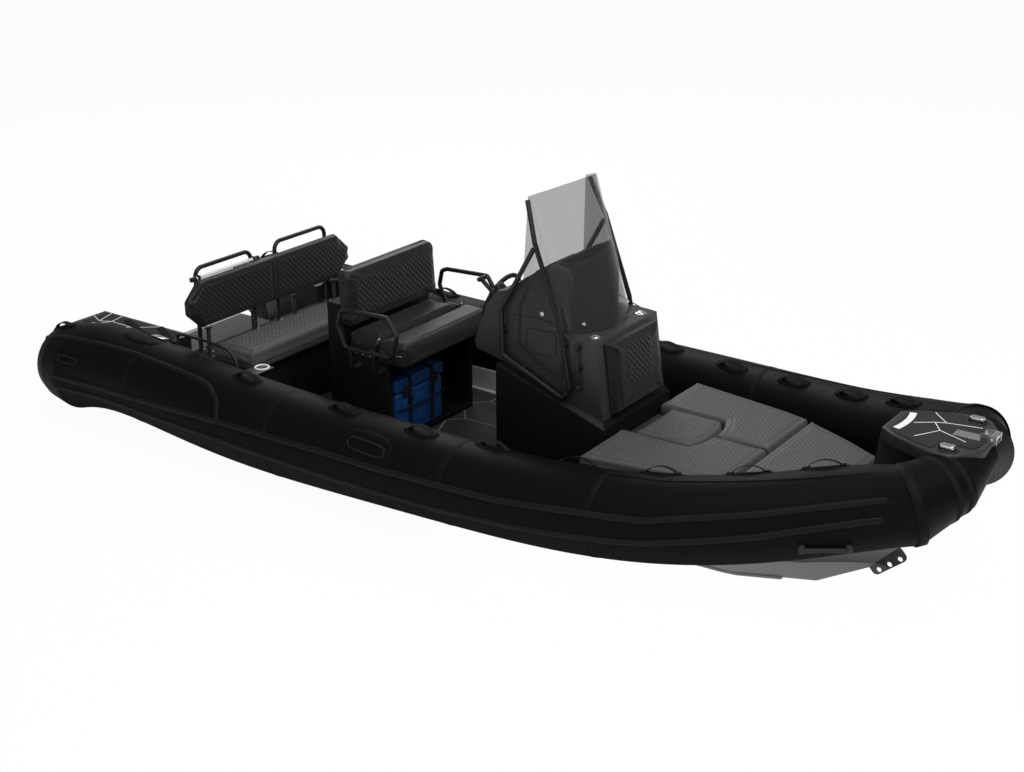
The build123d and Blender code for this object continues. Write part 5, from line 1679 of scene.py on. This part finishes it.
def makeCoolBox(cfg):
    low, high = Vector(cfg["low"]), Vector(cfg["high"])
    middle, size = (low + high) / 2, high - low
    bodyTop, gap = high.z - cfg["lid"], 0.003
    bm = bmesh.new()
    roundedBox(bm, (middle.x, middle.y, (low.z + bodyTop - gap) / 2),
               (size.x - cfg["shrink"], size.y - cfg["shrink"], bodyTop - gap - low.z), 0.024, 4)
    for y in cfg["ribs"]:
        roundedBox(bm, (high.x - 0.0085, middle.y + y, (low.z + bodyTop) / 2),
                   (0.008, 0.075, (bodyTop - low.z) * 0.62), 0.003, 3)
    finishPiece("coolBoxBody", bm, "boxPlastic", replaces=("cool_box",))
    bm = bmesh.new()
    roundedBox(bm, (middle.x, middle.y, high.z - cfg["lid"] / 2), (size.x, size.y, cfg["lid"]), 0.020, 4)
    roundedBox(bm, (middle.x, middle.y, high.z - 0.001), (size.x * 0.74, size.y * 0.82, 0.010), 0.004, 2)
    finishPiece("coolBoxLid", bm, "boxPlastic")
    bm = bmesh.new()
    for y in cfg["latches"]:
        roundedBox(bm, (high.x + 0.002, middle.y + y, bodyTop + 0.006), (0.012, 0.040, 0.070), 0.004, 2)
    for y in (low.y - 0.001, high.y + 0.001):
        roundedBox(bm, (middle.x, y, bodyTop - 0.030), (0.120, 0.014, 0.024), 0.005, 2)
    finishPiece("coolBoxLatches", bm, "blackPlastic")
    bm = bmesh.new()
    path = cfg["strapPath"]
    for y in cfg["straps"]:
        frames = []
        for i, (x, z) in enumerate(path):
            before, after = path[max(i - 1, 0)], path[min(i + 1, len(path) - 1)]
            run = Vector((after[0] - before[0], 0, after[1] - before[1])).normalized()
            frames.append(frameAt((x, y, z), (-run.z, 0, run.x), run))
        flatBand(bm, frames, cfg["strapHalf"], cfg["strapThickness"])
        roundedBox(bm, (cfg["buckle"][0], y, cfg["buckle"][1]), (0.008, 0.038, 0.044), 0.003, 2)
    band = cfg["band"]
    frames = []
    for t in stepsBetween(0, 1, 11):
        bend = math.sin(math.pi * t)
        x, z = band["x"] + band["bow"] * bend, band["z"] - band["sag"] * bend
        frames.append(frameAt((x, band["y"] + band["length"] * t, z), (1, 0, 0), (0, 1, 0)))
    flatBand(bm, frames, band["half"], band["thickness"])
    finishPiece("coolBoxStraps", bm, "webbing")


makeCoolBox(coolBox)

# helm seat fittings: pivots, slide strips, aft hatch
helmFittings = {
    "pin": (-0.630, 0.750), "bracketOut": 0.4102, "plate": (-0.755, 0.4150, 0.632),
    "plateSize": (0.150, 0.005, 0.020), "plateBolts": (-0.810, -0.755, -0.700), "boltRun": (0.4170, 0.4215),
    "strip": (-0.515, 0.4410, 0.690), "stripSize": (0.170, 0.005, 0.012), "stripBolts": (-0.585, -0.445),
    "stripBoltRun": (0.4420, 0.4465), "boxAft": -1.0302, "hatch": (0.26, 0.20, 0.74), "doorThickness": 0.010,
    "latches": (-0.15, 0.15), "latchDrop": 0.05, "hinges": (-0.18, 0.18), "hingeHalf": 0.03,
}


def dressHelmBox(cfg):
    bm = bmesh.new()
    x, z = cfg["pin"]
    plateX, plateY, plateZ = cfg["plate"]
    for side in (-1, 1):
        y = side * cfg["bracketOut"]
        rodAt(bm, (x, y, z), (x, y + side * 0.005, z), 0.0078, 6, ease=0.0008)
        roundedBox(bm, (plateX, side * plateY, plateZ), cfg["plateSize"], 0.002, 2)
        near, far = (side * reach for reach in cfg["boltRun"])
        for boltX in cfg["plateBolts"]:
            rodAt(bm, (boltX, near, plateZ), (boltX, far, plateZ), 0.006, 6, ease=0.0006)
    finishPiece("bolsterPivots", bm, "polishedSteel")
    bm = bmesh.new()
    stripX, stripY, stripZ = cfg["strip"]
    for side in (-1, 1):
        roundedBox(bm, (stripX, side * stripY, stripZ), cfg["stripSize"], 0.002, 2)
        near, far = (side * reach for reach in cfg["stripBoltRun"])
        for boltX in cfg["stripBolts"]:
            rodAt(bm, (boltX, near, stripZ), (boltX, far, stripZ), 0.0055, 6, ease=0.0006)
    finishPiece("bolsterStrips", bm, "polishedSteel", "helm_bolster")
    half, low, high = cfg["hatch"]
    aft, top = cfg["boxAft"], high - cfg["latchDrop"]
    bm = bmesh.new()
    door = (cfg["doorThickness"], 2 * half, high - low)
    roundedBox(bm, (aft - 0.004, 0, (low + high) / 2), door, 0.0035, 2)
    finishPiece("aftHatch", bm, "moulding")
    bm = bmesh.new()
    for y in cfg["latches"]:
        rodAt(bm, (aft - 0.016, y, top), (aft - 0.008, y, top), 0.022, 28, ease=0.002)
        roundedBox(bm, (aft - 0.018, y, top), (0.006, 0.010, 0.030), 0.002, 2)
    for y in cfg["hinges"]:
        near, far = y - cfg["hingeHalf"], y + cfg["hingeHalf"]
        rodAt(bm, (aft - 0.010, near, low), (aft - 0.010, far, low), 0.006, 14, ease=0.001)
    finishPiece("hatchLatches", bm, "blackPlastic")


dressHelmBox(helmFittings)

# bench: cup holder, side rails, stowed light pole
benchFittings = {
    "holder": (-1.326, 0.712, 0.520), "holderRadius": 0.042,
    "rail": ((-2.082, 0.700, 0.549), (-2.082, 0.700, 0.556), (-2.060, 0.702, 0.586), (-1.90, 0.705, 0.588),
             (-1.66, 0.705, 0.580), (-1.575, 0.705, 0.540), (-1.535, 0.715, 0.480), (-1.530, 0.735, 0.430)),
    "railRadius": 0.009, "aftFoot": 0.5492, "tubeFoot": (-1.530, 152),
    "pole": (-1.945, -0.640, -0.085, 0.955), "poleRadius": 0.011,
    "clips": (-0.6044, -0.1117), "clipX": -1.957,
}


def dressBenchSides(cfg):
    x, y, z = cfg["holder"]
    radius = cfg["holderRadius"]
    for side in (-1, 1):
        tag = sideNames[side].capitalize()
        bm = bmesh.new()
        roundedBox(bm, (x, side * (y + 0.035), z - 0.008), (0.120, 0.170, 0.010), 0.004, 3)
        rodAt(bm, (x, side * y, z - 0.075), (x, side * y, z - 0.010), radius * 0.86, 32, ease=0.006)
        roundedBox(bm, (x, side * (y + 0.085), z - 0.034), (0.100, 0.012, 0.055), 0.004, 2)
        finishPiece("cupHolderPlate" + tag, bm, "blackPlastic")
        ring = circleFrames((x, side * y, z - 0.002), radius, 40)
        sweepPiece("cupHolderRing" + tag, domeProfile(0.013, 0.006, 6, 0.001), ring, "whiteFitting",
                   angle=60, closedRun=True)
        points = [(px, side * py, pz) for px, py, pz in cfg["rail"]]
        curveRod("sideRail" + tag, points, cfg["railRadius"], "railCoat")
        bm = bmesh.new()
        flange(bm, (points[0][0], points[0][1], cfg["aftFoot"]), (0, 0, 1), 0.022, 0.004)
        foot, normal = onTube(*cfg["tubeFoot"], side)
        flange(bm, foot, normal, 0.024, 0.005)
        finishPiece("sideRailFeet" + tag, bm, "railCoat")
    px, y0, y1, pz = cfg["pole"]
    bm = bmesh.new()
    rodAt(bm, (px, y0, pz), (px, y1, pz), cfg["poleRadius"], 24, ease=0.003)
    finishPiece("lightPole", bm, "whiteFitting")
    bm = bmesh.new()
    rodAt(bm, (px, y0 - 0.030, pz), (px, y0 + 0.012, pz), 0.016, 24, ease=0.004)
    rodAt(bm, (px, y1 - 0.012, pz), (px, y1 + 0.020, pz), 0.014, 24, ease=0.004)
    for y in cfg["clips"]:
        roundedBox(bm, (cfg["clipX"], y, pz), (0.052, 0.024, 0.034), 0.006, 2)
    finishPiece("poleClips", bm, "blackPlastic")


dressBenchSides(benchFittings)

# bow step: foam pad with routed lines, cleat bezels, roller bolts
bowTop = {
    "z": 0.8401, "pad": ((2.482, 0.120), (2.530, 0.168), (2.680, 0.232), (2.742, 0.240), (2.760, 0.152),
                         (2.905, 0.148), (2.932, 0.104)), "padThickness": 0.005,
    "lines": (((2.600, 0.188), (2.695, 0.088), (2.643, 0.065), (2.555, 0.000)),
              ((2.695, 0.088), (2.868, 0.125)),
              ((2.643, 0.065), (2.702, -0.022), (2.620, -0.160)), ((2.702, -0.022), (2.858, -0.088))),
    "lineWidth": 0.005, "stripHalf": 0.118, "stripX": 2.508, "stripBow": 1.1, "stripWidth": 0.036,
    "stripSteps": 24, "cleat": (2.811, 0.210), "bezelRadius": 0.050,
    "boltX": (2.790, 2.850, 2.910), "boltY": (-0.026, 0.026),
    "boltZ": (0.8464, 0.8500), "axle": (2.967, 0.045, 0.8650),
}


def dressBowStep(cfg):
    outline = list(cfg["pad"]) + [(x, -y) for x, y in reversed(cfg["pad"])]
    bm = bmesh.new()
    padOutline(bm, turnedLeft(outline), cfg["z"], cfg["padThickness"])
    finishPiece("stepPad", bm, "stepFoam")
    bm = bmesh.new()
    top = cfg["z"] + cfg["padThickness"] - 0.0001
    for line in cfg["lines"]:
        for (x0, y0), (x1, y1) in zip(line, line[1:]):
            frames = [frameAt((x, y, top), (0, 0, 1), (x1 - x0, y1 - y0, 0)) for x, y in ((x0, y0), (x1, y1))]
            sweepProfile(bm, flatProfile(cfg["lineWidth"], 0.0010, 0.0005), frames)
    finishPiece("stepLines", bm, "whiteFitting")
    half, bow = cfg["stripHalf"], cfg["stripBow"]
    frames = []
    for i in range(cfg["stripSteps"] + 1):
        y = -half + 2 * half * i / cfg["stripSteps"]
        x = cfg["stripX"] + (half * half - y * y) * bow
        frames.append(frameAt((x, y, top), (0, 0, 1), (-2 * bow * y, 1, 0)))
    profile = flatProfile(cfg["stripWidth"], 0.0016, 0.0005)
    sweepPiece("stepStrip", profile, frames, "whiteFitting")
    bm = bmesh.new()
    for side in (-1, 1):
        ring = circleFrames((cfg["cleat"][0], side * cfg["cleat"][1], cfg["z"]), cfg["bezelRadius"], 44)
        sweepProfile(bm, domeProfile(0.012, 0.005, 6, 0.001), ring, closedRun=True)
    finishPiece("cleatBezels", bm, "blackPlastic", angle=60)
    bm = bmesh.new()
    low, high = cfg["boltZ"]
    for x in cfg["boltX"]:
        for y in cfg["boltY"]:
            rodAt(bm, (x, y, low), (x, y, high), 0.0065, 6, ease=0.0006)
    x, half, z = cfg["axle"]
    rodAt(bm, (x, -half, z), (x, half, z), 0.006, 18, ease=0.001)
    finishPiece("rollerBolts", bm, "polishedSteel")


dressBowStep(bowTop)

# stern: pads with routed lines, straps, tow plates, transom fittings
stern = {
    "pad": (-2.86, -2.09, 0.618, 0.845), "padThickness": 0.005,
    "lines": (((-2.86, 0.722), (-2.750, 0.771), (-2.800, 0.622)),
              ((-2.750, 0.771), (-2.671, 0.732), (-2.694, 0.622)),
              ((-2.671, 0.732), (-2.465, 0.739), (-2.400, 0.840)), ((-2.671, 0.732), (-2.740, 0.842)),
              ((-2.465, 0.739), (-2.330, 0.625))),
    "straps": (((-2.604, 0.660), (-2.153, 0.849)), ((-2.313, 0.635), (-1.960, 0.826))), "strapWidth": 0.044,
    "plate": (-2.083, 0.846), "eyes": (-2.5952, 0.24, 0.02),
    "eyePath": ((0, -0.028), (-0.030, -0.028), (-0.052, -0.014)),
    "eyeRadius": 0.0055, "drain": (0.42, -0.08), "drainRadius": 0.018,
}


def dressStern(cfg):
    x0, x1, y0, y1 = cfg["pad"]
    middle, reach = ((x0 + x1) / 2, (y0 + y1) / 2), ((x1 - x0) / 2, (y1 - y0) / 2)
    for side in (-1, 1):
        tag = sideNames[side].capitalize()
        under = ("stern_step_" + sideNames[side], "tube_" + sideNames[side])

        def toPlace(u, w):
            place, _ = dropOn(under, middle[0] + reach[0] * u, side * (middle[1] + reach[1] * w))
            return place, Vector((0, 0, 1))

        drapePiece("sternPad" + tag, toPlace, cfg["padThickness"], 44, 18, "stepFoam", "deck_foam", rim=0.05)
        bm = bmesh.new()
        for line in cfg["lines"]:
            stripOn(bm, under, [(x, side * y) for x, y in line], 0.006, 0.0012, lift=0.0052)
        finishPiece("sternLines" + tag, bm, "whiteFitting")
        bm = bmesh.new()
        for line in cfg["straps"]:
            stripOn(bm, under, [(x, side * y) for x, y in line], cfg["strapWidth"], 0.005, lift=0.0066)
        finishPiece("sternStraps" + tag, bm, "webbing")
        px, py = cfg["plate"]
        place, normal = dropOn(under, px, side * py)
        spin = frameAt(place, normal, (1, 0, 0)).to_3x3().to_4x4()
        bm = bmesh.new()
        roundedBox(bm, place + normal * 0.014, (0.006, 0.064, 0.105), 0.0025, 2, turn=spin)
        finishPiece("towPlate" + tag, bm, "polishedSteel")
        bm = bmesh.new()
        roundedBox(bm, place + normal * 0.0165, (0.004, 0.022, 0.040), 0.0018, 2, turn=spin)
        finishPiece("towPlateSlot" + tag, bm, "blackPlastic")
        ex, ey, ez = cfg["eyes"]
        path = cfg["eyePath"] + tuple((x, -y) for x, y in reversed(cfg["eyePath"]))
        points = [(ex + x, side * ey + y, ez) for x, y in path]
        curveRod("sternEye" + tag, points, cfg["eyeRadius"], "polishedSteel")
        bm = bmesh.new()
        roundedBox(bm, (ex - 0.002, side * ey, ez), (0.005, 0.090, 0.034), 0.002, 2)
        dy, dz = side * cfg["drain"][0], cfg["drain"][1]
        rodAt(bm, (ex - 0.012, dy, dz), (ex + 0.001, dy, dz), cfg["drainRadius"], 28, ease=0.003)
        finishPiece("sternEyePlate" + tag, bm, "polishedSteel")


dressStern(stern)

# hull: lifting strakes and a keel band, laid on the hull from below
hullTrim = {
    "strakes": (0.30, 0.62), "from": -2.50, "to": 1.35, "width": 0.046, "height": 0.020, "steps": 40,
    "half": 0.80, "narrowing": 0.42, "narrowFrom": 0.3, "narrowRun": 1.05, "narrowPower": 1.6,
    "keel": 0.060, "keelTo": 1.9, "keelHeight": 0.008, "keelOff": 0.004, "keelSteps": 50, "castFrom": -2.0,
}


def hullUnder(x, y):
    place, normal = hitNode("hull", (x, y, hullTrim["castFrom"]), (0, 0, 1))
    return (place, normal if normal.z < 0 else -normal) if place is not None else None


def liftStrake(share, side, cfg):
    frames = []
    for x in stepsBetween(cfg["from"], cfg["to"], cfg["steps"]):
        past = max(0.0, (x - cfg["narrowFrom"]) / cfg["narrowRun"]) ** cfg["narrowPower"]
        spot = hullUnder(x, side * share * (cfg["half"] - cfg["narrowing"] * past))
        if spot:
            frames.append(frameAt(*spot, (1, 0, 0)))
    half, rise = cfg["width"] / 2, cfg["height"]
    sweepPiece("liftStrake%d%s" % (int(share * 100), sideNames[side].capitalize()),
               [(-0.004, -half), (rise, -half * side * 0.2 - half * 0.6), (rise, half * 0.8), (-0.004, half)],
               frames, "hullPaint")


def dressHull(cfg):
    for share in cfg["strakes"]:
        for side in (-1, 1):
            liftStrake(share, side, cfg)
    frames = []
    for x in stepsBetween(cfg["from"], cfg["keelTo"], cfg["keelSteps"]):
        spot = hullUnder(x, cfg["keelOff"])
        if spot:
            frames.append(frameAt(Vector((x, 0, spot[0].z)), (0, 0, -1), (1, 0, 0)))
    sweepPiece("keelBand", domeProfile(cfg["keel"], cfg["keelHeight"], 8, 0.012), frames, "hullPaint",
               angle=50)


dressHull(hullTrim)
print("fittings ready")
